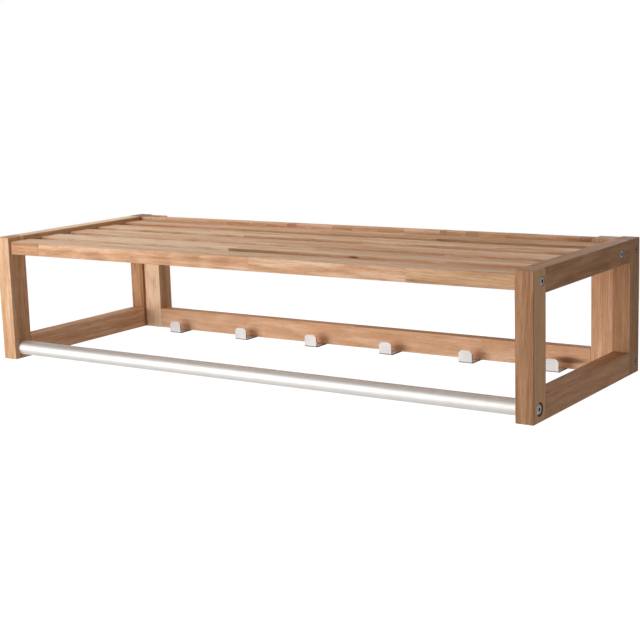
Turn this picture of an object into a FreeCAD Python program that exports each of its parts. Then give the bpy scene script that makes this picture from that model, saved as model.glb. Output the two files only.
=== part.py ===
"""Wall-hung coat rack: slatted shelf, hook rail and clothes rod between two side frames.

Frame of the part, in millimetres: X runs along the rack to the right, Y runs from the room to the
wall and Z is up. The back of the rack lies on the plane Y = 0. The origin is midway between the
entry holes of the two keyhole plates by which the rack hangs.
"""
import FreeCAD, Part
import os
import re

import Sketcher

# How many of each repeated piece or side there are.
SLAT_COUNT = 5
HOOK_COUNT = 6
HEX_SIDES = 6

# Driving dimensions in millimetres, one cell of the sheet each.
SIZES = {
    # Whole rack
    "overall_length": 1000.0,
    "overall_depth": 375.0,
    "side_height": 210.0,
    # Side frames: posts and rails of one width, flush on the outside
    "post_width": 28.0,
    "post_depth": 38.0,
    "top_rail_height": 35.0,
    "bottom_rail_height": 36.0,
    "arris": 1.5,
    "joint_arris": 0.5,
    # Shelf slats
    "slat_width": 46.0,
    "slat_thickness": 21.5,
    "slat_setback": 5.0,
    "slat_rear_gap": 3.0,
    "slat_drop": 7.0,
    # Back frame
    "upright_width": 37.0,
    "upright_depth": 33.0,
    "back_frame_drop": 1.2,
    "back_rail_thickness": 20.0,
    "back_rail_height": 45.0,
    "hook_rail_thickness": 20.0,
    "hook_rail_height": 36.0,
    # Dowels
    "frame_dowel_diameter": 8.0,
    "frame_dowel_length": 40.0,
    "frame_dowel_in_post": 14.0,
    "frame_dowel_spacing": 18.0,
    "slat_dowel_diameter": 6.0,
    "slat_dowel_length": 30.0,
    "slat_dowel_in_rail": 12.0,
    "slat_dowel_offset": 13.0,
    "dowel_chamfer": 0.8,
    "dowel_clearance": 0.05,
    "dowel_end_clearance": 0.5,
    # Bolts of the shelf and of the uprights, with their threaded inserts
    "bolt_diameter": 6.0,
    "bolt_head_diameter": 13.0,
    "bolt_head_height": 3.0,
    "bolt_head_chamfer": 0.7,
    "bolt_head_recess": 0.3,
    "bolt_key_size": 5.0,
    "bolt_key_depth": 3.2,
    "bolt_clearance": 0.2,
    "bolt_head_clearance": 0.4,
    "bolt_in_insert": 12.0,
    "insert_diameter": 10.0,
    "insert_length": 18.0,
    "insert_clearance": 0.05,
    "thread_clearance": 0.05,
    "rear_slat_bolt_offset": 12.0,
    "slat_bolt_to_dowel": 16.0,
    "upright_bolt_to_wall": 15.5,
    "upright_low_bolt_height": 18.0,
    "upright_bolt_head_diameter": 10.0,
    "upright_bolt_head_height": 4.0,
    "upright_bolt_head_recess": 0.8,
    "upright_bolt_key_size": 4.0,
    "upright_bolt_key_depth": 3.0,
    # Clothes rod, its plugs and its bolts
    "rod_diameter": 24.0,
    "rod_wall": 1.5,
    "rod_height": 18.5,
    "rod_in_post": 8.0,
    "rod_clearance": 0.1,
    "rod_end_clearance": 0.3,
    "plug_length": 24.0,
    "plug_clearance": 0.05,
    "rod_bolt_head_diameter": 15.0,
    "rod_bolt_head_height": 4.0,
    "rod_bolt_head_recess": 1.0,
    "rod_bolt_key_size": 5.0,
    "rod_bolt_key_depth": 3.2,
    "rod_bolt_in_plug": 16.0,
    "rod_counterbore_diameter": 20.0,
    # Hooks: a strip bent up in front, screwed under the hook rail
    "hook_to_upright": 55.0,
    "hook_width": 25.0,
    "hook_thickness": 2.0,
    "hook_reach": 26.0,
    "hook_height": 21.5,
    "hook_corner_radius": 8.0,
    "hook_bend_radius": 1.0,
    "hook_edge_round": 0.3,
    "hook_screw_spacing": 13.0,
    # Countersunk screws of the hooks
    "hook_screw_diameter": 3.5,
    "hook_screw_head_diameter": 6.6,
    "hook_screw_length": 16.0,
    "hook_screw_key_size": 2.0,
    "hook_screw_key_depth": 1.0,
    "screw_clearance": 0.1,
    # Keyhole plates and their screws: the plates' entry holes lie below the upper bolts
    "hanger_below_bolt": 52.25,
    "hanger_plate_width": 18.0,
    "hanger_plate_thickness": 2.0,
    "hanger_plate_above": 30.0,
    "hanger_plate_below": 16.0,
    "hanger_plate_clearance": 0.1,
    "hanger_corner_radius": 3.0,
    "keyhole_entry_diameter": 10.0,
    "keyhole_slot_width": 5.0,
    "keyhole_slot_rise": 12.0,
    "head_pocket_width": 12.0,
    "head_pocket_above": 18.0,
    "head_pocket_below": 7.0,
    "head_pocket_depth": 7.0,
    "hanger_screw_above": 24.0,
    "hanger_screw_below": 10.8,
    "hanger_screw_diameter": 3.0,
    "hanger_screw_head_diameter": 5.6,
    "hanger_screw_length": 16.0,
    "hanger_screw_key_size": 1.6,
    "hanger_screw_key_depth": 0.8,
    # Overrun of a cut past the face that it starts from
    "overrun": 1.0,
}

# Places and sizes that follow from the driving dimensions, as formulas of the second sheet.
PLACES = {
    "outer_half": "overall_length / 2",
    "inner_half": "outer_half - post_width",
    "front_y": "-overall_depth",
    "shelf_axis_height": "side_height - slat_drop - slat_thickness / 2",
    "hanger_height": "shelf_axis_height - hanger_below_bolt",
    "base_z": "-hanger_height",
    "top_z": "base_z + side_height",
    "rail_front_y": "front_y + post_depth",
    "rail_length": "overall_depth - 2 * post_depth",
    "slat_front_y": "front_y + slat_setback",
    "rear_slat_y": "-upright_depth - slat_rear_gap - slat_width",
    "slat_pitch": f"(rear_slat_y - slat_front_y) / {SLAT_COUNT - 1}",
    "slat_axis_z": "base_z + shelf_axis_height",
    "slat_z": "slat_axis_z - slat_thickness / 2",
    "slat_length": "2 * inner_half",
    "front_slat_bolt_y": "slat_front_y + slat_width / 2",
    "rear_slat_bolt_y": "rear_slat_y + rear_slat_bolt_offset",
    "upright_front_y": "-upright_depth",
    "upright_bolt_y": "-upright_bolt_to_wall",
    "upright_height": "side_height - back_frame_drop",
    "upright_inner": "inner_half - upright_width",
    "upright_axis_x": "inner_half - upright_width / 2",
    "upright_low_bolt_z": "base_z + upright_low_bolt_height",
    "back_rail_z": "base_z + upright_height - back_rail_height",
    "rod_y": "front_y + post_depth / 2",
    "rod_z": "base_z + rod_height",
    "rod_half": "inner_half + rod_in_post - rod_end_clearance",
    "rod_bore_radius": "rod_diameter / 2 - rod_wall",
    "rod_counterbore_depth": "rod_bolt_head_height + rod_bolt_head_recess",
    "rod_bolt_grip": "post_width - rod_counterbore_depth - rod_in_post + rod_end_clearance",
    "rod_bolt_length": "rod_bolt_grip + rod_bolt_in_plug",
    "bolt_hole_radius": "bolt_diameter / 2 + bolt_clearance",
    "bolt_counterbore_radius": "bolt_head_diameter / 2 + bolt_head_clearance",
    "bolt_counterbore_depth": "bolt_head_height + bolt_head_recess",
    "bolt_length": "post_width - bolt_counterbore_depth + bolt_in_insert",
    "upright_counterbore_radius": "upright_bolt_head_diameter / 2 + bolt_head_clearance",
    "upright_counterbore_depth": "upright_bolt_head_height + upright_bolt_head_recess",
    "upright_bolt_length": "post_width - upright_counterbore_depth + bolt_in_insert",
    "insert_hole_radius": "insert_diameter / 2 + insert_clearance",
    "thread_hole_radius": "bolt_diameter / 2 + thread_clearance",
    "frame_dowel_hole_radius": "frame_dowel_diameter / 2 + dowel_clearance",
    "frame_dowel_in_rail": "frame_dowel_length - frame_dowel_in_post",
    "post_dowel_depth": "frame_dowel_in_post + dowel_end_clearance",
    "rail_dowel_depth": "frame_dowel_in_rail + dowel_end_clearance",
    "slat_dowel_hole_radius": "slat_dowel_diameter / 2 + dowel_clearance",
    "side_dowel_depth": "slat_dowel_in_rail + dowel_end_clearance",
    "slat_dowel_depth": "slat_dowel_length - slat_dowel_in_rail + dowel_end_clearance",
    "hook_pitch": f"2 * (upright_inner - hook_to_upright) / {HOOK_COUNT - 1}",
    "hook_y": "upright_front_y - hook_reach",
    "hook_plate_depth": "hook_reach + hook_rail_thickness",
    "hook_z": "base_z - hook_thickness",
    "hook_outer_bend": "hook_bend_radius + hook_thickness",
    "hook_screw_y": "upright_front_y + hook_rail_thickness / 2",
    "hook_screw_hole_radius": "hook_screw_diameter / 2 + screw_clearance",
    "hook_screw_cone": "(hook_screw_head_diameter - hook_screw_diameter) / 2",
    "hanger_plate_half": "hanger_plate_width / 2",
    "hanger_plate_height": "hanger_plate_above + hanger_plate_below",
    "hanger_screw_hole_radius": "hanger_screw_diameter / 2 + screw_clearance",
    "hanger_screw_cone": "(hanger_screw_head_diameter - hanger_screw_diameter) / 2",
}

# Two places closer together than this share of a body's size count as one place.
SAME_PLACE_SHARE = 1e-6

# The two ends of the rack: the name of each and the sign of its X.
SIDES = (("left", -1), ("right", 1))

doc = FreeCAD.newDocument("coat_rack")
nodes = {}


def fill_sheet(name, cells):
    """Add a sheet with one named cell per entry."""
    sheet = doc.addObject("Spreadsheet::Sheet", name)
    for row, (alias, content) in enumerate(cells.items(), start=1):
        sheet.set(f"A{row}", alias)
        sheet.set(f"B{row}", content)
        sheet.setAlias(f"B{row}", alias)
    return sheet


def linked(formula):
    """The formula with the sheet's name put before each cell's alias."""

    def with_sheet(match):
        word = match.group(0)
        if word in SIZES:
            return f"Sizes.{word}"
        if word in PLACES:
            return f"Places.{word}"
        return word

    return re.sub(r"[a-z][a-z_0-9]*", with_sheet, formula)


fill_sheet("Sizes", {alias: str(value) for alias, value in SIZES.items()})
places_sheet = fill_sheet("Places", {alias: "=" + linked(formula) for alias, formula in PLACES.items()})
doc.recompute()


def bind(feature, prop, formula):
    """Tie one property of a feature to a formula of the sheets' cells."""
    feature.setExpression(prop, linked(formula))


def place(feature, corner):
    """Tie a feature's position to three formulas."""
    for axis, formula in zip("xyz", corner):
        bind(feature, f"Placement.Base.{axis}", formula)


def signed(sign, formula):
    """The formula for the left end as it stands for sign -1, or for the right end for sign 1."""
    return f"{sign} * ({formula})"


def origin_plane(body, role):
    """One of a body's own origin planes."""
    return next(item for item in body.Origin.OriginFeatures if item.Role == role)


def sketch_on(body, name, role, offset=None):
    """A sketch on one of the body's origin planes, moved along the plane's normal by a formula."""
    sketch = body.newObject("Sketcher::SketchObject", name)
    sketch.AttachmentSupport = (origin_plane(body, role), [""])
    sketch.MapMode = "FlatFace"
    if offset is not None:
        bind(sketch, "AttachmentOffset.Base.z", offset)
    return sketch


def dimension(sketch, kind, refs, formula):
    """Add a dimension to a sketch and tie it to a formula."""
    index = sketch.addConstraint(Sketcher.Constraint(kind, *refs, value_of(formula)))
    bind(sketch, f"Constraints[{index}]", formula)


def value_of(formula):
    """The present value of a formula of the sheets' cells."""
    return float(places_sheet.evalExpression(linked(formula)))


def pin_point(sketch, geometry, point, across, up):
    """Fix a point of a sketch by its two distances from the sketch's origin."""
    dimension(sketch, "DistanceX", (-1, 1, geometry, point), across)
    dimension(sketch, "DistanceY", (-1, 1, geometry, point), up)


def draw_outline(sketch, corners):
    """Draw a closed outline of straight lines through corners given as pairs of formulas."""
    points = [FreeCAD.Vector(value_of(across), value_of(up), 0) for across, up in corners]
    count = len(points)
    for index in range(count):
        sketch.addGeometry(Part.LineSegment(points[index], points[(index + 1) % count]), False)
    for index in range(count):
        sketch.addConstraint(Sketcher.Constraint("Coincident", index, 2, (index + 1) % count, 1))
    for index, (across, up) in enumerate(corners):
        pin_point(sketch, index, 1, across, up)


def draw_circles(sketch, centres, radius):
    """Draw circles of one radius about centres given as pairs of formulas."""
    for index, (across, up) in enumerate(centres):
        centre = FreeCAD.Vector(value_of(across), value_of(up), 0)
        sketch.addGeometry(Part.Circle(centre, FreeCAD.Vector(0, 0, 1), value_of(radius)), False)
        dimension(sketch, "Radius", (index,), radius)
        pin_point(sketch, index, 3, across, up)


# For each face that a tool may enter: its sketch plane, whether that plane's own axis has to be
# turned round for a cut into the body, and the sign of an offset along the plane's normal.
FACES = {
    "-x": ("YZ_Plane", True, 1),
    "+x": ("YZ_Plane", False, 1),
    "-y": ("XZ_Plane", False, -1),
    "+y": ("XZ_Plane", True, -1),
    "-z": ("XY_Plane", True, 1),
    "+z": ("XY_Plane", False, 1),
}


def cut_in(body, name, face, level, draw, depth):
    """Cut a drawn shape into a body from one face, which lies at a level along its axis."""
    role, turned, sense = FACES[face]
    sketch = sketch_on(body, name + "_sketch", role, f"{sense} * ({level})")
    draw(sketch)
    doc.recompute()
    before = body.Shape.Volume
    pocket = body.newObject("PartDesign::Pocket", name)
    pocket.Profile = sketch
    pocket.Reversed = turned
    bind(pocket, "Length", depth)
    doc.recompute()
    if body.Shape.Volume >= before:
        raise RuntimeError(f"{body.Label}: {name} cuts nothing")


def drill(body, name, face, level, centres, radius, depth):
    """Drill round holes into a body from one face."""
    cut_in(body, name, face, level, lambda sketch: draw_circles(sketch, centres, radius), depth)


def box_corners(low_across, high_across, low_up, high_up):
    """The four corners of a rectangle between two pairs of formulas."""
    return [(low_across, low_up), (high_across, low_up), (high_across, high_up), (low_across, high_up)]


def pad(body, name, corners, height):
    """Pad an outline that lies on the body's XY plane."""
    sketch = sketch_on(body, name + "_sketch", "XY_Plane")
    draw_outline(sketch, corners)
    feature = body.newObject("PartDesign::Pad", name)
    feature.Profile = sketch
    bind(feature, "Length", height)
    doc.recompute()


def edges_between(shape, pairs):
    """Names of the straight edges where two outer faces of a block meet, such as ("-x", "+z")."""
    levels = {}
    for axis, letter in enumerate("xyz"):
        reached = [vertex.Point[axis] for vertex in shape.Vertexes]
        levels["-" + letter] = (axis, min(reached))
        levels["+" + letter] = (axis, max(reached))
    near = shape.BoundBox.DiagonalLength * SAME_PLACE_SHARE

    def on_face(edge, face):
        axis, level = levels[face]
        return all(abs(vertex.Point[axis] - level) < near for vertex in edge.Vertexes)

    found = []
    for pair in pairs:
        numbers = [
            number
            for number, edge in enumerate(shape.Edges, start=1)
            if all(on_face(edge, face) for face in pair)
        ]
        if not numbers:
            raise RuntimeError(f"no edge lies between {pair}")
        found += [f"Edge{number}" for number in numbers]
    return found


def edges_along_x(shape, y, z):
    """Names of the edges that run along X at one Y and one Z."""
    near = shape.BoundBox.DiagonalLength * SAME_PLACE_SHARE
    return [
        f"Edge{number}"
        for number, edge in enumerate(shape.Edges, start=1)
        if all(abs(v.Point.y - y) < near and abs(v.Point.z - z) < near for v in edge.Vertexes)
    ]


def fillet(body, name, edges, radius):
    """Round the named edges of a body, or every edge if none is named."""
    base = body.Tip
    rounding = body.newObject("PartDesign::Fillet", name)
    rounding.Base = (base, edges)
    rounding.UseAllEdges = not edges
    bind(rounding, "Radius", radius)
    doc.recompute()


def round_edges(body, name, pairs, radius):
    """Round the edges of a block that lie between the named pairs of faces."""
    fillet(body, name, edges_between(body.Tip.Shape, pairs), radius)


def keep(name, item):
    """Count an object as one of the rack's pieces, under the name of its file."""
    item.Label = name
    nodes[name] = item


def board(name, corner, size, rounded, eased=()):
    """A rectangular board with its low corner at a place, its edges rounded or only eased."""
    body = doc.addObject("PartDesign::Body", name)
    length_x, length_y, length_z = size
    pad(body, name + "_pad", box_corners("0", length_x, "0", length_y), length_z)
    round_edges(body, name + "_round", rounded, "arris")
    if eased:
        round_edges(body, name + "_eased", eased, "joint_arris")
    place(body, corner)
    keep(name, body)
    return body


def turned(name, profile):
    """A solid of revolution about Z from an outline of (radius, height) formulas."""
    body = doc.addObject("PartDesign::Body", name)
    sketch = sketch_on(body, name + "_sketch", "XZ_Plane")
    draw_outline(sketch, profile)
    revolution = body.newObject("PartDesign::Revolution", name + "_turn")
    revolution.Profile = sketch
    revolution.ReferenceAxis = (sketch, ["V_Axis"])
    revolution.Angle = 360
    doc.recompute()
    return body


def cut_key(body, name, key_size, top, depth):
    """Cut a hexagonal key socket into the flat top of a turned head."""
    corners = []
    for index in range(HEX_SIDES):
        turn = f"{index} * 360 deg / {HEX_SIDES}"
        reach = f"({key_size}) / 2 / cos(180 deg / {HEX_SIDES})"
        corners.append((f"{reach} * cos({turn})", f"{reach} * sin({turn})"))
    cut_in(body, name, "+z", top, lambda sketch: draw_outline(sketch, corners), depth)


def group(name, master, spots, turns):
    """Copies of one master at several places, kept as separate solids of one node."""
    copies = []
    for number, (spot, turn) in enumerate(zip(spots, turns), start=1):
        copy = doc.addObject("App::Link", f"{name}_{number}")
        copy.LinkedObject = master
        copy.Placement = FreeCAD.Placement(FreeCAD.Vector(), turn)
        place(copy, spot)
        copies.append(copy)
    compound = doc.addObject("Part::Compound", name)
    compound.Links = copies
    keep(name, compound)


# A turned piece stands along Z. These turns lay it with its top to an end of the rack, to the
# wall, to the room, down or up.
Y_AXIS = FreeCAD.Vector(0, 1, 0)
X_AXIS = FreeCAD.Vector(1, 0, 0)
TOP_TO = {
    -1: FreeCAD.Rotation(Y_AXIS, -90),
    1: FreeCAD.Rotation(Y_AXIS, 90),
}
TOP_TO_WALL = FreeCAD.Rotation(X_AXIS, -90)
TOP_TO_ROOM = FreeCAD.Rotation(X_AXIS, 90)
TOP_DOWN = FreeCAD.Rotation(X_AXIS, 180)
TOP_UP = FreeCAD.Rotation()

# The two rails of a side frame: name, foot and height of the rail, and the middle of its dowels.
# All but the rail's own height are counted from the foot of the rack. The dowels of the top rail
# keep to both sides of the slats' bolts and dowels.
SIDE_RAILS = (
    ("bottom_rail", "0", "bottom_rail_height", "bottom_rail_height / 2"),
    ("top_rail", "side_height - top_rail_height", "top_rail_height", "shelf_axis_height"),
)

# The two rails of the back frame: name, foot, height, thickness and the middle of its dowels.
BACK_RAILS = (
    ("hook_rail", "0", "hook_rail_height", "hook_rail_thickness", "hook_rail_height / 2"),
    ("back_rail", "back_rail_z - base_z", "back_rail_height", "back_rail_thickness",
     "back_rail_z - base_z + back_rail_height / 2"),
)


def dowel_heights(middle):
    """Heights of a joint's two dowels, above and below their middle."""
    return [f"({middle}) + {sign} * frame_dowel_spacing / 2" for sign in (-1, 1)]


def outer_and_inner(sign):
    """Faces of a side frame's piece that look away from the rack's middle and towards it."""
    return ("-x", "+x") if sign < 0 else ("+x", "-x")


def face_level(face, width):
    """Level of a face along X in the body's own frame."""
    return width if face == "+x" else "0"


def low_corner_x(sign):
    """X of the low corner of a side frame's pieces."""
    return "-outer_half" if sign < 0 else "inner_half"


def bolt_hole(body, name, sign, centres, head_radius, head_depth):
    """Through holes for bolts with a counterbore in the outer face of a side frame's piece."""
    outer, _ = outer_and_inner(sign)
    level = face_level(outer, "post_width")
    drill(body, name + "_hole", outer, level, centres, "bolt_hole_radius", "post_width + overrun")
    drill(body, name + "_seat", outer, level, centres, head_radius, head_depth)


def post(side, sign, where):
    """A full-height post of a side frame, with the dowel holes that take the rails."""
    is_front = where == "front"
    shown, joined = ("-y", "+y") if is_front else ("+y", "-y")
    corner_y = "front_y" if is_front else "-post_depth"
    name = f"{side}_{where}_post"
    rounded = [(shown, "-x"), (shown, "+x")]
    for end in ("-z", "+z"):
        rounded += [(end, shown), (end, "-x"), (end, "+x")]
    body = board(
        name,
        (low_corner_x(sign), corner_y, "base_z"),
        ("post_width", "post_depth", "side_height"),
        rounded,
        eased=[(joined, face) for face in ("-x", "+x", "-z", "+z")],
    )
    for rail, _, _, middle in SIDE_RAILS:
        centres = [("post_width / 2", rise) for rise in dowel_heights(middle)]
        level = "post_depth" if is_front else "0"
        drill(body, f"{name}_{rail}_dowels", joined, level, centres,
              "frame_dowel_hole_radius", "post_dowel_depth")
    return body


def front_post(side, sign):
    """A front post: seat of the rod and its bolt at the foot, bolt of the front slat at the top."""
    body = post(side, sign, "front")
    _, inner = outer_and_inner(sign)
    rod_centre = [("rod_y - front_y", "rod_height")]
    drill(body, f"{side}_rod_seat", inner, face_level(inner, "post_width"), rod_centre,
          "rod_diameter / 2 + rod_clearance", "rod_in_post")
    bolt_hole(body, f"{side}_rod_bolt", sign, rod_centre,
              "rod_counterbore_diameter / 2", "rod_counterbore_depth")
    slat_centre = [("front_slat_bolt_y - front_y", "shelf_axis_height")]
    bolt_hole(body, f"{side}_front_slat_bolt", sign, slat_centre,
              "bolt_counterbore_radius", "bolt_counterbore_depth")


def rear_post(side, sign):
    """A rear post: two bolts pass through it into the upright beside it."""
    body = post(side, sign, "rear")
    across = "upright_bolt_y + post_depth"
    centres = [(across, "shelf_axis_height"), (across, "upright_low_bolt_height")]
    bolt_hole(body, f"{side}_upright_bolt", sign, centres,
              "upright_counterbore_radius", "upright_counterbore_depth")


def slat_dowel_ys(number):
    """Y of the dowels in each end of a slat, as formulas."""
    if number == 1:
        return ["front_slat_bolt_y + slat_bolt_to_dowel"]
    if number == SLAT_COUNT:
        return ["rear_slat_bolt_y + slat_bolt_to_dowel"]
    middle = f"slat_front_y + {number - 1} * slat_pitch + slat_width / 2"
    return [f"{middle} - slat_dowel_offset", f"{middle} + slat_dowel_offset"]


def side_rail(side, sign, rail, foot, height, middle):
    """A rail of a side frame, with the holes of the dowels in its ends."""
    name = f"{side}_{rail}"
    body = board(
        name,
        (low_corner_x(sign), "rail_front_y", f"base_z + {foot}"),
        ("post_width", "rail_length", height),
        [("-x", "-z"), ("-x", "+z"), ("+x", "-z"), ("+x", "+z")],
        eased=[(end, face) for end in ("-y", "+y") for face in ("-x", "+x", "-z", "+z")],
    )
    centres = [("post_width / 2", f"{rise} - ({foot})") for rise in dowel_heights(middle)]
    for face, level in (("-y", "0"), ("+y", "rail_length")):
        end = "front" if face == "-y" else "rear"
        drill(body, f"{name}_{end}_dowels", face, level, centres,
              "frame_dowel_hole_radius", "rail_dowel_depth")
    return body


def top_rail_joints(body, side, sign):
    """Holes of a side frame's top rail for the slats' dowels and the rear slat's bolt."""
    _, inner = outer_and_inner(sign)
    rail_z = "(top_z - top_rail_height)"
    centres = []
    for number in range(1, SLAT_COUNT + 1):
        centres += [(f"{y} - rail_front_y", f"slat_axis_z - {rail_z}") for y in slat_dowel_ys(number)]
    drill(body, f"{side}_slat_dowels", inner, face_level(inner, "post_width"), centres,
          "slat_dowel_hole_radius", "side_dowel_depth")
    bolt_hole(body, f"{side}_rear_slat_bolt", sign,
              [("rear_slat_bolt_y - rail_front_y", f"slat_axis_z - {rail_z}")],
              "bolt_counterbore_radius", "bolt_counterbore_depth")


def side_frame(side, sign):
    """One side frame: two posts and two rails."""
    front_post(side, sign)
    rear_post(side, sign)
    for rail, foot, height, middle in SIDE_RAILS:
        body = side_rail(side, sign, rail, foot, height, middle)
        if rail == "top_rail":
            top_rail_joints(body, side, sign)


def slat(number):
    """A shelf slat, with holes in its ends for dowels and, on the outer slats, for inserts."""
    name = f"slat_{number}"
    slat_y = f"slat_front_y + {number - 1} * slat_pitch"
    body = board(
        name,
        ("-inner_half", slat_y, "slat_z"),
        ("slat_length", "slat_width", "slat_thickness"),
        [("-y", "-z"), ("-y", "+z"), ("+y", "-z"), ("+y", "+z")],
    )
    bolt_ys = {1: "front_slat_bolt_y", SLAT_COUNT: "rear_slat_bolt_y"}
    for face, level in (("-x", "0"), ("+x", "slat_length")):
        end = "left" if face == "-x" else "right"
        centres = [(f"{y} - ({slat_y})", "slat_thickness / 2") for y in slat_dowel_ys(number)]
        drill(body, f"{name}_{end}_dowels", face, level, centres,
              "slat_dowel_hole_radius", "slat_dowel_depth")
        if number in bolt_ys:
            drill(body, f"{name}_{end}_insert", face, level,
                  [(f"{bolt_ys[number]} - ({slat_y})", "slat_thickness / 2")],
                  "insert_hole_radius", "insert_length + dowel_end_clearance")


def upright(side, sign):
    """An upright of the back frame: dowel holes, insert holes and the seat of the keyhole plate."""
    name = f"{side}_upright"
    outer, inner = outer_and_inner(sign)
    low_x = "-inner_half" if sign < 0 else "upright_inner"
    rounded = [("-y", outer), ("+z", "-y"), ("+z", inner)]
    body = board(
        name,
        (low_x, "upright_front_y", "base_z"),
        ("upright_width", "upright_depth", "upright_height"),
        rounded,
        eased=[("-y", inner), ("+y", inner)],
    )
    for rail, _, _, thickness, middle in BACK_RAILS:
        centres = [(f"{thickness} / 2", rise) for rise in dowel_heights(middle)]
        drill(body, f"{name}_{rail}_dowels", inner, face_level(inner, "upright_width"), centres,
              "frame_dowel_hole_radius", "post_dowel_depth")
    across = "upright_depth + upright_bolt_y"
    centres = [(across, "shelf_axis_height"), (across, "upright_low_bolt_height")]
    drill(body, f"{name}_inserts", outer, face_level(outer, "upright_width"), centres,
          "insert_hole_radius", "insert_length + dowel_end_clearance")
    seat_hanger(body, name)


def seat_hanger(body, name):
    """Let the keyhole plate into the back of an upright, with a pocket for the wall screw's head."""
    middle = "upright_width / 2"
    plate = box_corners(
        f"{middle} - hanger_plate_half - hanger_plate_clearance",
        f"{middle} + hanger_plate_half + hanger_plate_clearance",
        "hanger_height - hanger_plate_below - hanger_plate_clearance",
        "hanger_height + hanger_plate_above + hanger_plate_clearance",
    )
    head = box_corners(
        f"{middle} - head_pocket_width / 2",
        f"{middle} + head_pocket_width / 2",
        "hanger_height - head_pocket_below",
        "hanger_height + head_pocket_above",
    )
    cut_in(body, f"{name}_plate_seat", "+y", "upright_depth",
           lambda sketch: draw_outline(sketch, plate), "hanger_plate_thickness")
    cut_in(body, f"{name}_head_pocket", "+y", "upright_depth",
           lambda sketch: draw_outline(sketch, head), "hanger_plate_thickness + head_pocket_depth")
    screws = [
        (middle, "hanger_height + hanger_screw_above"),
        (middle, "hanger_height - hanger_screw_below"),
    ]
    drill(body, f"{name}_screw_holes", "+y", "upright_depth", screws,
          "hanger_screw_hole_radius", "hanger_screw_length + dowel_end_clearance")


def hook_x(number):
    """X of a hook's middle, as a formula."""
    return f"hook_pitch * {number - (HOOK_COUNT + 1) / 2}"


def hook_screw_xs(number):
    """X of the two screws of a hook."""
    return [f"{hook_x(number)} + {sign} * hook_screw_spacing / 2" for sign in (-1, 1)]


def back_frame_rail(name, foot, height, thickness, middle):
    """A rail of the back frame, its front flush with the uprights, doweled at both ends."""
    length = "2 * upright_inner"
    body = board(
        name,
        ("-upright_inner", "upright_front_y", f"base_z + {foot}"),
        (length, thickness, height),
        [("-y", "-z"), ("-y", "+z"), ("+y", "-z"), ("+y", "+z")],
        eased=[(end, face) for end in ("-x", "+x") for face in ("-y", "+y", "-z", "+z")],
    )
    centres = [(f"{thickness} / 2", f"{rise} - ({foot})") for rise in dowel_heights(middle)]
    for face, level in (("-x", "0"), ("+x", length)):
        end = "left" if face == "-x" else "right"
        drill(body, f"{name}_{end}_dowels", face, level, centres,
              "frame_dowel_hole_radius", "rail_dowel_depth")
    return body


def drill_for_hooks(body):
    """Pilot holes in the underside of the hook rail for the hooks' screws."""
    centres = []
    for number in range(1, HOOK_COUNT + 1):
        centres += [(f"{x} + upright_inner", "hook_rail_thickness / 2") for x in hook_screw_xs(number)]
    drill(body, "hook_rail_screw_holes", "-z", "0", centres, "hook_screw_hole_radius",
          "hook_screw_length - hook_thickness + dowel_end_clearance")


def back_frame():
    """The back frame: two uprights and the two rails between them."""
    for side, sign in SIDES:
        upright(side, sign)
    for rail in BACK_RAILS:
        body = back_frame_rail(*rail)
        if rail[0] == "hook_rail":
            drill_for_hooks(body)


def dowel(name, diameter, length):
    """A turned dowel that stands on its lower end."""
    radius = f"{diameter} / 2"
    chamfered = f"{radius} - dowel_chamfer"
    return turned(name, [
        ("0", "0"), (chamfered, "0"), (radius, "dowel_chamfer"),
        (radius, f"{length} - dowel_chamfer"), (chamfered, length), ("0", length),
    ])


def add_dowels():
    """All dowels: the post-to-rail joints, the back frame's joints and the slats' ends."""
    frame_dowel = dowel("frame_dowel", "frame_dowel_diameter", "frame_dowel_length")
    for side, sign in SIDES:
        spots = []
        for _, _, _, middle in SIDE_RAILS:
            for rise in dowel_heights(middle):
                z = f"base_z + {rise}"
                spots.append((signed(sign, "outer_half - post_width / 2"),
                              "rail_front_y - frame_dowel_in_post", z))
                spots.append((signed(sign, "outer_half - post_width / 2"),
                              "rail_front_y + rail_length - frame_dowel_in_rail", z))
        group(f"{side}_frame_dowels", frame_dowel, spots, [TOP_TO_WALL] * len(spots))

    spots, turns = [], []
    for _, sign in SIDES:
        for _, _, _, thickness, middle in BACK_RAILS:
            for rise in dowel_heights(middle):
                spots.append((signed(sign, "upright_inner - frame_dowel_in_rail"),
                              f"upright_front_y + {thickness} / 2", f"base_z + {rise}"))
                turns.append(TOP_TO[sign])
    group("back_frame_dowels", frame_dowel, spots, turns)

    slat_dowel = dowel("slat_dowel", "slat_dowel_diameter", "slat_dowel_length")
    spots, turns = [], []
    for _, sign in SIDES:
        for number in range(1, SLAT_COUNT + 1):
            for y in slat_dowel_ys(number):
                spots.append((signed(sign, "inner_half + slat_dowel_in_rail - slat_dowel_length"),
                              y, "slat_axis_z"))
                turns.append(TOP_TO[sign])
    group("slat_dowels", slat_dowel, spots, turns)


def bolt(name, head_diameter, head_height, length, key_size, key_depth):
    """A bolt with a flat round head and a key socket: its shank ends at the origin."""
    head = f"{head_diameter} / 2"
    top = f"{length} + {head_height}"
    body = turned(name, [
        ("0", "0"), ("bolt_diameter / 2", "0"), ("bolt_diameter / 2", length), (head, length),
        (head, f"{top} - bolt_head_chamfer"), (f"{head} - bolt_head_chamfer", top), ("0", top),
    ])
    cut_key(body, name + "_key", key_size, top, key_depth)
    return body


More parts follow.
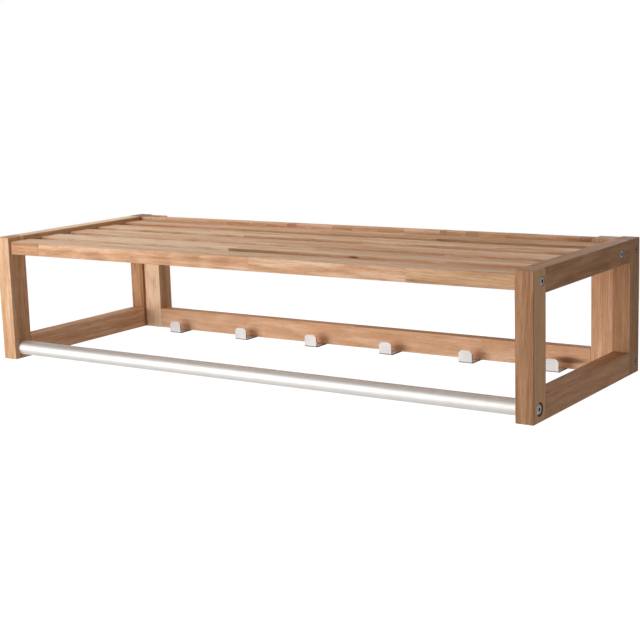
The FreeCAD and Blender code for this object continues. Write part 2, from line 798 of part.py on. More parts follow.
def add_bolts():
    """The bolts in the side frames and the threaded inserts that they screw into."""
    shelf_bolt = bolt("shelf_bolt", "bolt_head_diameter", "bolt_head_height", "bolt_length",
                      "bolt_key_size", "bolt_key_depth")
    upright_bolt = bolt("upright_bolt", "upright_bolt_head_diameter", "upright_bolt_head_height",
                        "upright_bolt_length", "upright_bolt_key_size", "upright_bolt_key_depth")
    insert = turned("threaded_insert", [
        ("thread_hole_radius", "0"), ("insert_diameter / 2", "0"),
        ("insert_diameter / 2", "insert_length"), ("thread_hole_radius", "insert_length"),
    ])
    shelf_spots, upright_spots = [], []
    for _, sign in SIDES:
        for y in ("front_slat_bolt_y", "rear_slat_bolt_y"):
            shelf_spots.append((sign, y, "slat_axis_z"))
        for z in ("slat_axis_z", "upright_low_bolt_z"):
            upright_spots.append((sign, "upright_bolt_y", z))
    for name, screw, spots in (("shelf", shelf_bolt, shelf_spots),
                               ("upright", upright_bolt, upright_spots)):
        turns = [TOP_TO[sign] for sign, _, _ in spots]
        group(f"{name}_bolts", screw,
              [(signed(sign, "inner_half - bolt_in_insert"), y, z) for sign, y, z in spots], turns)
        group(f"{name}_inserts", insert,
              [(signed(sign, "inner_half - insert_length"), y, z) for sign, y, z in spots], turns)


def add_rod():
    """The clothes rod, its tapped plugs and its bolts."""
    rod = doc.addObject("PartDesign::Body", "clothes_rod")
    sketch = sketch_on(rod, "clothes_rod_sketch", "YZ_Plane")
    for radius in ("rod_diameter / 2", "rod_bore_radius"):
        circle = sketch.addGeometry(
            Part.Circle(FreeCAD.Vector(), FreeCAD.Vector(0, 0, 1), value_of(radius)), False)
        sketch.addConstraint(Sketcher.Constraint("Coincident", circle, 3, -1, 1))
        dimension(sketch, "Radius", (circle,), radius)
    tube = rod.newObject("PartDesign::Pad", "clothes_rod_pad")
    tube.Profile = sketch
    bind(tube, "Length", "2 * rod_half")
    place(rod, ("-rod_half", "rod_y", "rod_z"))
    keep("clothes_rod", rod)

    plug_radius = "rod_bore_radius - plug_clearance"
    rod_bolt = bolt("rod_bolt", "rod_bolt_head_diameter", "rod_bolt_head_height", "rod_bolt_length",
                    "rod_bolt_key_size", "rod_bolt_key_depth")
    spots, turns = [], []
    for side, sign in SIDES:
        plug = turned(f"{side}_rod_plug", [
            ("thread_hole_radius", "0"), (plug_radius, "0"),
            (plug_radius, "plug_length"), ("thread_hole_radius", "plug_length"),
        ])
        plug.Placement = FreeCAD.Placement(FreeCAD.Vector(), TOP_TO[sign])
        place(plug, (signed(sign, "rod_half - plug_length"), "rod_y", "rod_z"))
        keep(f"{side}_rod_plug", plug)
        spots.append((signed(sign, "rod_half - rod_bolt_in_plug"), "rod_y", "rod_z"))
        turns.append(TOP_TO[sign])
    group("rod_bolts", rod_bolt, spots, turns)


def hook(number):
    """A hook: a strip bent up in front, with two countersunk holes under the rail."""
    name = f"hook_{number}"
    body = doc.addObject("PartDesign::Body", name)
    pad(body, name + "_strip", box_corners("0", "hook_width", "0", "hook_plate_depth"), "hook_thickness")
    pad(body, name + "_tab", box_corners("0", "hook_width", "0", "hook_thickness"), "hook_height")
    round_edges(body, name + "_outer_bend", [("-y", "-z")], "hook_outer_bend")
    inside = value_of("hook_thickness")
    fillet(body, name + "_inner_bend", edges_along_x(body.Tip.Shape, inside, inside), "hook_bend_radius")
    round_edges(body, name + "_corners", [("-x", "+z"), ("+x", "+z")], "hook_corner_radius")
    fillet(body, name + "_deburred", [], "hook_edge_round")
    centres = [
        (f"hook_width / 2 + {side} * hook_screw_spacing / 2", "hook_reach + hook_rail_thickness / 2")
        for side in (-1, 1)
    ]
    drill(body, name + "_screw_holes", "-z", "0", centres, "hook_screw_hole_radius",
          "hook_thickness + overrun")
    for index, (across, up) in enumerate(centres, start=1):
        countersink(body, f"{name}_countersink_{index}", (across, up, "0"), "hook_screw", TOP_UP)
    place(body, (f"{hook_x(number)} - hook_width / 2", "hook_y", "hook_z"))
    keep(name, body)


def countersink(body, name, spot, screw, turn):
    """A countersink of a screw's head, wide at its place and narrowing along the turned Z axis."""
    cone = body.newObject("PartDesign::SubtractiveCone", name)
    bind(cone, "Radius1", f"{screw}_head_diameter / 2 + screw_clearance")
    bind(cone, "Radius2", f"{screw}_hole_radius")
    bind(cone, "Height", f"{screw}_cone")
    cone.Placement = FreeCAD.Placement(FreeCAD.Vector(), turn)
    place(cone, spot)
    doc.recompute()


def countersunk_screw(screw):
    """A countersunk screw with a key socket: it stands on its tip, its head flat at its length."""
    head = f"{screw}_head_diameter / 2"
    shank = f"{screw}_diameter / 2"
    length = f"{screw}_length"
    neck = f"{length} - {screw}_cone"
    body = turned(f"{screw}_master", [
        ("0", "0"), (shank, shank), (shank, neck), (head, length), ("0", length),
    ])
    cut_key(body, f"{screw}_key", f"{screw}_key_size", length, f"{screw}_key_depth")
    return body


def add_hooks():
    """The hooks and their screws."""
    for number in range(1, HOOK_COUNT + 1):
        hook(number)
    screw = countersunk_screw("hook_screw")
    spots = []
    for number in range(1, HOOK_COUNT + 1):
        spots += [(x, "hook_screw_y", "hook_z + hook_screw_length") for x in hook_screw_xs(number)]
    group("hook_screws", screw, spots, [TOP_DOWN] * len(spots))


def hanger_plate(side, sign):
    """A keyhole plate: entry hole below, slot above it, a countersunk hole at each end."""
    name = f"{side}_hanger_plate"
    body = doc.addObject("PartDesign::Body", name)
    pad(body, name + "_pad",
        box_corners("-hanger_plate_half", "hanger_plate_half", "-hanger_plate_thickness", "0"),
        "hanger_plate_height")
    corners = [("-x", "-z"), ("-x", "+z"), ("+x", "-z"), ("+x", "+z")]
    round_edges(body, name + "_corners", corners, "hanger_corner_radius")
    through = "hanger_plate_thickness + overrun"
    entry = "hanger_plate_below"
    slot = box_corners("-keyhole_slot_width / 2", "keyhole_slot_width / 2",
                       entry, f"{entry} + keyhole_slot_rise")
    drill(body, name + "_entry", "+y", "0", [("0", entry)], "keyhole_entry_diameter / 2", through)
    cut_in(body, name + "_slot", "+y", "0", lambda sketch: draw_outline(sketch, slot), through)
    drill(body, name + "_slot_end", "+y", "0", [("0", f"{entry} + keyhole_slot_rise")],
          "keyhole_slot_width / 2", through)
    screws = [("0", f"{entry} + hanger_screw_above"), ("0", f"{entry} - hanger_screw_below")]
    drill(body, name + "_screw_holes", "+y", "0", screws, "hanger_screw_hole_radius", through)
    for index, (across, up) in enumerate(screws, start=1):
        countersink(body, f"{name}_countersink_{index}", (across, "0", up), "hanger_screw",
                    TOP_TO_ROOM)
    place(body, (signed(sign, "upright_axis_x"), "0", "-hanger_plate_below"))
    keep(name, body)


def add_hangers():
    """The keyhole plates and their screws."""
    spots = []
    for side, sign in SIDES:
        hanger_plate(side, sign)
        for z in ("hanger_screw_above", "-hanger_screw_below"):
            spots.append((signed(sign, "upright_axis_x"), "-hanger_screw_length", z))
    screw = countersunk_screw("hanger_screw")
    group("hanger_screws", screw, spots, [TOP_TO_WALL] * len(spots))


def check_model():
    """Stop if an object failed or a node's shape is missing or not valid."""
    doc.recompute()
    for item in doc.Objects:
        if "Invalid" in item.State or "Error" in item.State:
            raise RuntimeError(f"{item.Name} failed: {item.State}")
    for name, item in nodes.items():
        if item.Shape.isNull() or not item.Shape.isValid() or not item.Shape.Solids:
            raise RuntimeError(f"{name} has no valid solid")


def write_nodes():
    """Write each node to its own file and print its box."""
    os.makedirs("parts", exist_ok=True)
    for name, item in nodes.items():
        item.Shape.exportStep(os.path.join("parts", f"{name}.step"))
        box = item.Shape.BoundBox
        print(f"{name}: {len(item.Shape.Solids)} solids, X {box.XMin:.1f}..{box.XMax:.1f}, "
              f"Y {box.YMin:.1f}..{box.YMax:.1f}, Z {box.ZMin:.1f}..{box.ZMax:.1f}")


for side_name, side_sign in SIDES:
    side_frame(side_name, side_sign)
for slat_number in range(1, SLAT_COUNT + 1):
    slat(slat_number)
back_frame()
add_dowels()
add_bolts()
add_rod()
add_hooks()
add_hangers()
check_model()
write_nodes()
print(f"{len(nodes)} nodes")
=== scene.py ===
"""Looks of a wall-hung coat rack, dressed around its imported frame.

The rack has two side frames, a shelf of slats, a back frame with a row of bent hooks and a clothes
rod. All lengths are in metres, in the frame's own axes: X to the right, Y to the wall and Z up,
with the wall at Y = 0.
"""
from __future__ import annotations

import logging
import math
import random
from collections.abc import Iterator, Mapping, Sequence
from dataclasses import dataclass, replace
from enum import Enum

import bmesh
import bpy
from mathutils import Euler, Matrix, Vector

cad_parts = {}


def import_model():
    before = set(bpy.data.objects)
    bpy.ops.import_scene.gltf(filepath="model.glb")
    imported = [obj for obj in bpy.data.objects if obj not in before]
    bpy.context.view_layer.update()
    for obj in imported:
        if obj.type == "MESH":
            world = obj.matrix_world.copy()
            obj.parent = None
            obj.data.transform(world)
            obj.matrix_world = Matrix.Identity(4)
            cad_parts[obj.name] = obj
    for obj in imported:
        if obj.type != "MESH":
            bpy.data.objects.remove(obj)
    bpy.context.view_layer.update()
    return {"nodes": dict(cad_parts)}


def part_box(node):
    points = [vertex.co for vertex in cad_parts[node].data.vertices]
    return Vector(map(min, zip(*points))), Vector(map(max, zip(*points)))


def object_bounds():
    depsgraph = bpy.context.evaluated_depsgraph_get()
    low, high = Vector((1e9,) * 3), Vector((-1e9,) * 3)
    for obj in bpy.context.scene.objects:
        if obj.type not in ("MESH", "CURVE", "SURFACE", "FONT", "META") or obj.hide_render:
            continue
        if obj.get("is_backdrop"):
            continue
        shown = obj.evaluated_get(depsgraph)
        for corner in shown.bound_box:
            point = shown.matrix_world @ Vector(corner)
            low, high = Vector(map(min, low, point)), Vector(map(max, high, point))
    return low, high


LOG = logging.getLogger("coat_rack")

Colour = tuple[float, float, float]
Place = tuple[float, float, float]
Waves = tuple[float, float, float]
Socket = bpy.types.NodeSocket
Sockets = bpy.types.bpy_prop_collection
Value = float | Sequence[float] | Socket
Inputs = Mapping[str | int, Value]

WHITE: Colour = (1.0, 1.0, 1.0)
# Painted shade inside the sockets of the bolt heads.
SOCKET_SHADE: Colour = (0.035, 0.034, 0.032)
# Number of even shades in a stave that turns from one shade to another.
FADE_STEPS = 6
# Share of a board's width that its first row takes where that row shows on one face alone.
FACE = 0.04
# Start of the chance that gives each stave its own figure.
STAVE_SEED = 12


class Grain(Enum):
    """Direction of the fibres of a board, as the turn that lays them along X."""

    ALONG_X = (0.0, 0.0, 0.0)
    ALONG_Y = (0.0, 0.0, -math.pi / 2)
    ALONG_Z = (0.0, math.pi / 2, 0.0)

    def turn(self) -> Matrix:
        """The turn from the rack's axes to the board's own: length, width and thickness."""
        return Euler(self.value).to_matrix()


class Side(Enum):
    """One end of the rack, with the first word of its pieces' names."""

    LEFT = "left"
    RIGHT = "right"

    def node(self, piece: str) -> str:
        """Name of this side's own piece."""
        return f"{self.value}_{piece}"


class Timber(Enum):
    """Shade of a stave of oak: how dark and how red, both from 0 to 1."""

    CREAM = (0.02, 0.50)
    AMBER = (0.27, 0.60)
    STRAW = (0.28, 0.20)
    PINK = (0.22, 0.90)
    HONEY = (0.36, 0.68)
    TAN = (0.50, 0.40)
    OLIVE = (0.60, 0.15)
    RUSSET = (0.62, 0.75)
    BROWN = (0.80, 0.60)
    UMBER = (0.98, 0.50)


@dataclass(frozen=True)
class Noise:
    """Even noise from 0 to 1, about 0.5 on the whole.

    Args:
        waves: Waves per metre along each axis.
        detail: Number of finer layers.
        roughness: Strength of the finer layers.
    """

    waves: Waves
    detail: float = 2.0
    roughness: float = 0.5


@dataclass(frozen=True)
class Change:
    """A smooth change of one number with another.

    Args:
        start: Where it starts.
        end: Where it ends.
        before: Result up to the start.
        after: Result from the end.
    """

    start: float
    end: float
    before: float = 0.0
    after: float = 1.0


def opaque(colour: Value) -> Value:
    """A written colour with its alpha, or a socket as it is."""
    return colour if isinstance(colour, Socket) else (*colour, 1.0)


class Graph:
    """Adds nodes to one shader tree and links them.

    Args:
        tree: The node tree of a material, world or group.
    """

    # Numbers of the mix node's sockets for colours.
    MIX_SHARE = 0
    MIX_FIRST = 6
    MIX_SECOND = 7
    MIX_RESULT = 2

    def __init__(self, tree: bpy.types.NodeTree) -> None:
        """Keep the tree that the nodes go to."""
        self.tree = tree

    def add(self, kind: str, inputs: Inputs | None = None, **settings: object) -> bpy.types.Node:
        """Add a node, set its options and fill or link its inputs.

        Args:
            kind: Type of the node, such as ShaderNodeMath.
            inputs: A value or another node's socket for each input, by name or number.
            **settings: Options of the node.

        Returns:
            The new node.
        """
        node = self.tree.nodes.new(kind)
        for name, setting in settings.items():
            setattr(node, name, setting)
        self.fill(node, inputs or {})
        return node

    def fill(self, node: bpy.types.Node, inputs: Inputs) -> None:
        """Fill or link inputs of a node.

        Args:
            node: The node.
            inputs: A value or another node's socket for each input, by name or number.
        """
        for key, value in inputs.items():
            if isinstance(value, Socket):
                self.tree.links.new(value, node.inputs[key])
            else:
                node.inputs[key].default_value = value

    def math(self, operation: str, *values: Value) -> Socket:
        """Combine numbers.

        Args:
            operation: Name of the operation, such as ADD.
            *values: One to three numbers or sockets.

        Returns:
            The result's socket.
        """
        return self.add("ShaderNodeMath", dict(enumerate(values)), operation=operation).outputs[0]

    def vector(self, operation: str, *values: Value) -> Socket:
        """Combine vectors.

        Args:
            operation: Name of the operation, such as ADD or MULTIPLY.
            *values: One or two vectors or sockets.

        Returns:
            The resulting vector's socket.
        """
        node = self.add("ShaderNodeVectorMath", dict(enumerate(values)), operation=operation)
        return node.outputs["Vector"]

    def length(self, vector: Value) -> Socket:
        """Length of a vector."""
        return self.add("ShaderNodeVectorMath", {0: vector}, operation="LENGTH").outputs["Value"]

    def split(self, vector: Value) -> tuple[Socket, ...]:
        """The three parts of a vector."""
        return tuple(self.add("ShaderNodeSeparateXYZ", {0: vector}).outputs)

    def join(self, x: Value, y: Value, z: Value) -> Socket:
        """A vector of three numbers."""
        return self.add("ShaderNodeCombineXYZ", {0: x, 1: y, 2: z}).outputs[0]

    def place(self) -> Socket:
        """The place on the piece, in the rack's own axes."""
        return self.add("ShaderNodeTexCoord").outputs["Object"]

    def ramp(self, value: Value, change: Change) -> Socket:
        """Carry a number smoothly from one range to another.

        Args:
            value: The number.
            change: Both ranges.

        Returns:
            The result's socket.
        """
        ranges = {"From Min": change.start, "From Max": change.end, "To Min": change.before,
                  "To Max": change.after}
        node = self.add(
            "ShaderNodeMapRange", {"Value": value, **ranges}, interpolation_type="SMOOTHSTEP")
        return node.outputs["Result"]

    def noise(self, vector: Value, noise: Noise) -> Socket:
        """Noise at a place.

        Args:
            vector: Where the noise is read.
            noise: Its waves and finer layers.

        Returns:
            The noise value's socket.
        """
        scaled = self.vector("MULTIPLY", vector, noise.waves)
        return self.add("ShaderNodeTexNoise", {
            "Vector": scaled, "Scale": 1.0, "Detail": noise.detail, "Roughness": noise.roughness,
        }).outputs[0]

    def total(self, *values: Value) -> Socket:
        """Sum of several numbers.

        Args:
            *values: The numbers.

        Returns:
            The sum's socket.
        """
        result = values[0]
        for value in values[1:]:
            result = self.math("ADD", result, value)
        return result

    def mix(self, share: Value, first: Value, second: Value, blend: str = "MIX") -> Socket:
        """Blend two colours.

        Args:
            share: How much of the second colour shows.
            first: The colour at 0.
            second: The colour at 1.
            blend: Way of blending.

        Returns:
            The blended colour's socket.
        """
        inputs = {self.MIX_SHARE: share, self.MIX_FIRST: opaque(first), self.MIX_SECOND: opaque(second)}
        node = self.add("ShaderNodeMix", inputs, data_type="RGBA", blend_type=blend)
        return node.outputs[self.MIX_RESULT]


class Kind(Enum):
    """Kind of a group's socket."""

    NUMBER = "NodeSocketFloat"
    VECTOR = "NodeSocketVector"
    COLOUR = "NodeSocketColor"


class Group:
    """A shader group with named inputs and outputs, filled in through its graph.

    Args:
        name: Name of the group.
        inputs: Kind of each input, by name.
        outputs: Kind of each output, by name.
    """

    def __init__(self, name: str, inputs: Mapping[str, Kind], outputs: Mapping[str, Kind]) -> None:
        """Make the group's tree, its sockets and its two end nodes."""
        self.tree = bpy.data.node_groups.new(name, "ShaderNodeTree")
        for way, sockets in (("INPUT", inputs), ("OUTPUT", outputs)):
            for socket, kind in sockets.items():
                self.tree.interface.new_socket(name=socket, in_out=way, socket_type=kind.value)
        self.graph = Graph(self.tree)
        self.inputs = self.graph.add("NodeGroupInput").outputs
        self.result = self.graph.add("NodeGroupOutput")

    def give(self, **results: Socket) -> None:
        """Link results to the outputs of the same names."""
        for name, socket in results.items():
            self.tree.links.new(socket, self.result.inputs[name])

    def put_in(self, graph: Graph, inputs: Inputs) -> Sockets:
        """Put the group in a material, fill or link its inputs and hand over its outputs."""
        return graph.add("ShaderNodeGroup", inputs, node_tree=self.tree).outputs


@dataclass(frozen=True)
class Surface:
    """Plain settings of a surface that don't change over it.

    Args:
        metallic: 1 for metal, 0 for wood and paint.
        specular: Level of its gloss.
        bump_strength: Strength of its relief.
        bump_distance: Depth of its relief at a height of 1.
    """

    metallic: float = 0.0
    specular: float = 0.5
    bump_strength: float = 0.5
    bump_distance: float = 0.001

    def start(self, name: str) -> tuple[bpy.types.Material, Graph, bpy.types.Node]:
        """Make a material with its shader.

        Args:
            name: Name of the material.

        Returns:
            The material, its graph and its shader node.
        """
        material = bpy.data.materials.new(name)
        material.use_nodes = True
        material.node_tree.nodes.clear()
        graph = Graph(material.node_tree)
        shader = graph.add(
            "ShaderNodeBsdfPrincipled",
            {"Metallic": self.metallic, "Specular IOR Level": self.specular},
        )
        graph.add("ShaderNodeOutputMaterial", {"Surface": shader.outputs[0]})
        return material, graph, shader

    def dress(self, graph: Graph, shader: bpy.types.Node, colour: Socket, roughness: Socket,
              height: Socket) -> None:
        """Link the changing parts of the surface to its shader.

        Args:
            graph: Graph of the material.
            shader: Its shader node.
            colour: Colour over the surface.
            roughness: Roughness over the surface.
            height: Height over the surface, as a share of the bump's distance.
        """
        bump = graph.add("ShaderNodeBump", {
            "Strength": self.bump_strength, "Distance": self.bump_distance, "Height": height,
        })
        graph.fill(
            shader, {"Base Color": colour, "Roughness": roughness, "Normal": bump.outputs[0]})


@dataclass(frozen=True)
class Stave:
    """One length of timber in a glued-up board.

    Args:
        start: Where it starts, as a share of the board's length.
        timber: Its shade.
        turns: The shade that it turns into along its length, if it does.
    """

    start: float
    timber: Timber
    turns: Timber | None = None

    def steps(self, end: float) -> Iterator[tuple[float, float, float]]:
        """The stave's shades one after another.

        Args:
            end: Where it ends, as a share of the board's length.

        Yields:
            Start, tone and warmth of each length of one shade.
        """
        last = self.turns or self.timber
        count = FADE_STEPS if self.turns else 1
        for number in range(count):
            share = number / count
            tone, warmth = (
                low + (high - low) * share for low, high in zip(self.timber.value, last.value))
            yield self.start + (end - self.start) * share, tone, warmth


@dataclass(frozen=True)
class Row:
    """The staves that follow each other in one strip of a board's width.

    Args:
        edge: Where the strip ends, as a share of the board's width.
        staves: Its staves, in order.
    """

    edge: float
    staves: tuple[Stave, ...]

    @classmethod
    def of(cls, *staves: tuple[float | Timber, ...], edge: float = 1.0) -> Row:
        """A row from the start and the timbers of each stave."""
        return cls(edge, tuple(Stave(*stave) for stave in staves))


Rows = tuple[Row, ...]


@dataclass(frozen=True)
class Knot:
    """A knot in a board. The plain one lies far above the rack and shows nowhere.

    Args:
        place: Its middle, in the rack's axes.
        radius: Its radius.
    """

    place: Place = (0.0, 0.0, 9.0)
    radius: float = 0.004


@dataclass(frozen=True)
class Recess:
    """A round or hexagonal recess that is sunk along X, equal at both ends of the rack.

    Args:
        y: Its axis' Y.
        z: Its axis' Z.
        radius: Its radius.
        face: Distance from the rack's middle at which it starts.
    """

    y: float
    z: float
    radius: float
    face: float


class OakFigure:
    """The grain of oak as a solid pattern: rings, bands, streaks, fibres, pores and rays.

    Its vector runs in metres with the fibres along X, so faces, edges and end grain agree.
    """

    # Hues as linear light.
    PALE: Colour = (0.96, 0.70, 0.51)
    HONEY: Colour = (0.745, 0.428, 0.248)
    UMBER: Colour = (0.34, 0.163, 0.074)
    YELLOWISH: Colour = (0.97, 1.04, 0.93)
    REDDISH: Colour = (1.03, 0.93, 0.92)
    PORE: Colour = (0.22, 0.105, 0.05)
    # Colour of the dark joint lines and hairlines, and of the painted shade inside bores.
    JOINT_AND_BORE_SHADE: Colour = (0.14, 0.07, 0.035)
    KNOT: Colour = (0.15, 0.075, 0.04)

    # Noises that carry the fibres sideways, each with the width that it carries them over.
    WANDER = ((Noise((3.4, 16.0, 16.0), 1.0), 0.007), (Noise((9.0, 26.0, 26.0), 1.0), 0.005))
    KNOT_SWERVE = 0.004

    # Noises of the figure, and where the small marks of some of them show.
    BANDS = Noise((2.6, 48.0, 48.0))
    STREAKS = Noise((9.0, 150.0, 150.0), 4.0, 0.70)
    FIBRES = Noise((45.0, 1300.0, 1300.0), 2.0, 0.6)
    DASHES = Noise((38.0, 560.0, 560.0), 1.0)
    PORES = Noise((85.0, 3200.0, 3200.0), 1.0)
    RAYS = Noise((230.0, 260.0, 2600.0), 1.0)
    DASHES_SHOWN = Change(0.56, 0.70)
    PORES_SHOWN = Change(0.60, 0.70)
    RAYS_SHOWN = Change(0.64, 0.74)
    LATE_WOOD_PORES = 0.3

    # What each part adds to the depth of the colour. How much the rings add follows the bands.
    RING_DEPTH = Change(0.36, 0.66, 0.04, 0.20)
    BAND_DEPTH = Change(0.28, 0.72, -0.09, 0.09)
    STREAK_DEPTH = Change(0.28, 0.72, -0.22, 0.22)
    FIBRE_DEPTH = Change(0.25, 0.75, -0.07, 0.09)
    DASH_DEPTH = 0.15
    TONE_DEPTH = Change(0.0, 1.0, -0.22, 0.74)
    KNOT_DEPTH = 0.45
    CUT_DEPTH = 0.38

    # How the depth, and then the small marks, colour the wood.
    PALE_TO_HONEY = Change(-0.25, 0.30)
    HONEY_TO_UMBER = Change(0.12, 1.05)
    RAY_SHARE = 0.12
    PORE_SHARE = 0.45
    # The lighter edges are partly rubbed and partly a painted highlight on the arrises.
    WORN_AND_LIT_SHARE = 0.20
    DARK_SHARE = 0.75
    KNOT_SHARE = Change(0.35, 0.95, 0.0, 0.65)

    FIBRE_ROUGHNESS = Change(0.2, 0.8, 0.46, 0.58)
    PORE_ROUGHNESS = 0.2
    FIBRE_HEIGHT = 0.4
    PORE_HEIGHT = -0.8
    RING_HEIGHT = -0.2
    DARK_HEIGHT = -0.5

    # What a stave's seed is multiplied by to move its noises, and to draw its pith's direction,
    # distance and lean.
    SEED_SHIFT: Place = (7.3, 3.1, 5.7)
    SEED_TURNS = 3.7
    SEED_DISTANCES = 9.1
    SEED_LEANS = 5.3

    # Width of a ring, where the pith may lie, and what makes the rings uneven.
    RING_WIDTH = 0.0042
    PITH_NEAR = 0.030
    PITH_SPREAD = 0.070
    PITH_LEAN = 0.12
    WARP = Noise((2.6, 11.0, 11.0), 1.0)
    WARP_REACH = 0.014
    RIPPLE = Noise((13.0, 110.0, 110.0))
    RIPPLE_REACH = 0.0030
    EARLY_WOOD_STARTS = Change(0.0, 0.18)
    EARLY_WOOD_ENDS = Change(0.25, 0.9, 1.0, 0.0)

    # How little the distance along the fibres counts at a knot, and the radii over which it fades.
    KNOT_LENGTH_SHARE = 0.17
    KNOT_REACH = Change(2.6, 0.3)

    def __init__(self) -> None:
        """Build the group."""
        self.group = Group(
            "oak_figure",
            {
                "Vector": Kind.VECTOR, "Tone": Kind.NUMBER, "Warmth": Kind.NUMBER,
                "Seed": Kind.NUMBER, "Vivid": Kind.NUMBER, "Dark": Kind.NUMBER,
                "Worn": Kind.NUMBER, "Cut": Kind.NUMBER, "Knot": Kind.VECTOR,
                "Knot Radius": Kind.NUMBER,
            },
            {"Colour": Kind.COLOUR, "Roughness": Kind.NUMBER, "Height": Kind.NUMBER},
        )
        graph, inputs = self.group.graph, self.group.inputs
        seed = inputs["Seed"]
        shift = graph.vector("MULTIPLY", graph.join(seed, seed, seed), self.SEED_SHIFT)
        spot = graph.vector("ADD", inputs["Vector"], shift)
        knot = self.knot_mask(graph, inputs)
        bent = self.bend(graph, spot, knot)
        rings = self.rings(graph, inputs, spot, knot)
        bands = graph.noise(bent, self.BANDS)
        streaks = graph.noise(bent, self.STREAKS)
        fibres = graph.noise(bent, self.FIBRES)
        dashes = graph.ramp(graph.noise(bent, self.DASHES), self.DASHES_SHOWN)
        porous = graph.math("MULTIPLY_ADD", rings, 1.0 - self.LATE_WOOD_PORES, self.LATE_WOOD_PORES)
        pores = graph.ramp(graph.noise(spot, self.PORES), self.PORES_SHOWN)
        pores = graph.math("MULTIPLY", pores, porous)
        rays = graph.ramp(graph.noise(spot, self.RAYS), self.RAYS_SHOWN)

        drawn = graph.total(
            graph.math("MULTIPLY", rings, graph.ramp(bands, self.RING_DEPTH)),
            graph.ramp(bands, self.BAND_DEPTH),
            graph.ramp(streaks, self.STREAK_DEPTH),
            graph.ramp(fibres, self.FIBRE_DEPTH),
            graph.math("MULTIPLY", dashes, self.DASH_DEPTH),
        )
        depth = graph.total(
            graph.ramp(inputs["Tone"], self.TONE_DEPTH),
            graph.math("MULTIPLY", drawn, inputs["Vivid"]),
            graph.math("MULTIPLY", knot, self.KNOT_DEPTH),
            graph.math("MULTIPLY", inputs["Cut"], self.CUT_DEPTH),
        )
        # The dark mark holds the joint lines, the hairlines and the painted shade inside bores.
        marks = (
            (rays, self.RAY_SHARE, self.PALE), (pores, self.PORE_SHARE, self.PORE),
            (inputs["Worn"], self.WORN_AND_LIT_SHARE, self.PALE), (inputs["Dark"], self.DARK_SHARE, self.JOINT_AND_BORE_SHADE),
        )
        colour = self.wood(graph, inputs["Warmth"], depth)
        for mask, share, tint in marks:
            colour = graph.mix(graph.math("MULTIPLY", mask, share), colour, tint)
        colour = graph.mix(graph.ramp(knot, self.KNOT_SHARE), colour, self.KNOT)

        smooth = graph.ramp(fibres, self.FIBRE_ROUGHNESS)
        rough = graph.math("MULTIPLY_ADD", pores, self.PORE_ROUGHNESS, smooth)
        height = graph.total(
            graph.math("MULTIPLY", fibres, self.FIBRE_HEIGHT),
            graph.math("MULTIPLY", pores, self.PORE_HEIGHT),
            graph.math("MULTIPLY", rings, self.RING_HEIGHT),
            graph.math("MULTIPLY", inputs["Dark"], self.DARK_HEIGHT),
        )
        self.group.give(Colour=colour, Roughness=rough, Height=height)

    def wood(self, graph: Graph, warmth: Socket, depth: Socket) -> Socket:
        """Colour of the bare wood.

        Args:
            graph: Graph of the group.
            warmth: How red it is, from 0 to 1.
            depth: How dark it is.

        Returns:
            The colour's socket.
        """
        colour = graph.mix(graph.ramp(depth, self.PALE_TO_HONEY), self.PALE, self.HONEY)
        colour = graph.mix(graph.ramp(depth, self.HONEY_TO_UMBER), colour, self.UMBER)
        hue = graph.mix(warmth, self.YELLOWISH, self.REDDISH)
        return graph.mix(1.0, colour, hue, "MULTIPLY")

    def bend(self, graph: Graph, spot: Socket, knot: Socket) -> Socket:
        """Carry the fibres to and fro, and past the knot.

        Args:
            graph: Graph of the group.
            spot: The place, moved by the stave's seed.
            knot: The knot's mask.

        Returns:
            The bent place's socket.
        """
        wander = graph.total(*(
            graph.math("MULTIPLY_ADD", graph.noise(spot, noise), reach, -reach / 2)
            for noise, reach in self.WANDER
        ))
        swerve = graph.math("MULTIPLY", knot, self.KNOT_SWERVE)
        aside = graph.join(0.0, wander, graph.math("ADD", wander, swerve))
        return graph.vector("ADD", spot, aside)

    def knot_mask(self, graph: Graph, inputs: Sockets) -> Socket:
        """A mask that is 1 at the knot and fades out over a few of its radii.

        Args:
            graph: Graph of the group.
            inputs: The group's inputs.

        Returns:
            The mask's socket.
        """
        away = graph.vector("SUBTRACT", inputs["Vector"], inputs["Knot"])
        away = graph.vector("MULTIPLY", away, (self.KNOT_LENGTH_SHARE, 1.0, 1.0))
        reach = graph.math("DIVIDE", graph.length(away), inputs["Knot Radius"])
        return graph.ramp(reach, self.KNOT_REACH)

    def rings(self, graph: Graph, inputs: Sockets, spot: Socket, knot: Socket) -> Socket:
        """Growth rings about a leaning pith beside the stave: 1 in each ring's open early wood.

        Args:
            graph: Graph of the group.
            inputs: The group's inputs.
            spot: The place, moved by the stave's seed.
            knot: The knot's mask, which bends the rings round it.

        Returns:
            The mask's socket.
        """
        seed = inputs["Seed"]
        turn = graph.math("MULTIPLY", seed, math.tau * self.SEED_TURNS)
        away = graph.math("FRACT", graph.math("MULTIPLY", seed, self.SEED_DISTANCES))
        away = graph.math("MULTIPLY_ADD", away, self.PITH_SPREAD, self.PITH_NEAR)
        lean = graph.math("FRACT", graph.math("MULTIPLY", seed, self.SEED_LEANS))
        lean = graph.math("MULTIPLY", graph.math("SUBTRACT", lean, 0.5), self.PITH_LEAN)
        along, width, thick = graph.split(inputs["Vector"])
        away = graph.math("MULTIPLY_ADD", along, lean, away)
        across = graph.math("MULTIPLY_ADD", graph.math("COSINE", turn), away, width)
        up = graph.math("MULTIPLY_ADD", graph.math("SINE", turn), away, thick)
        radius = graph.length(graph.join(0.0, across, up))
        warped = graph.total(
            radius,
            graph.math("MULTIPLY", graph.noise(spot, self.WARP), self.WARP_REACH),
            graph.math("MULTIPLY", graph.noise(spot, self.RIPPLE), self.RIPPLE_REACH),
            graph.math("MULTIPLY", knot, self.RING_WIDTH),
        )
        phase = graph.math("FRACT", graph.math("DIVIDE", warped, self.RING_WIDTH))
        starts = graph.ramp(phase, self.EARLY_WOOD_STARTS)
        return graph.math("MULTIPLY", starts, graph.ramp(phase, self.EARLY_WOOD_ENDS))


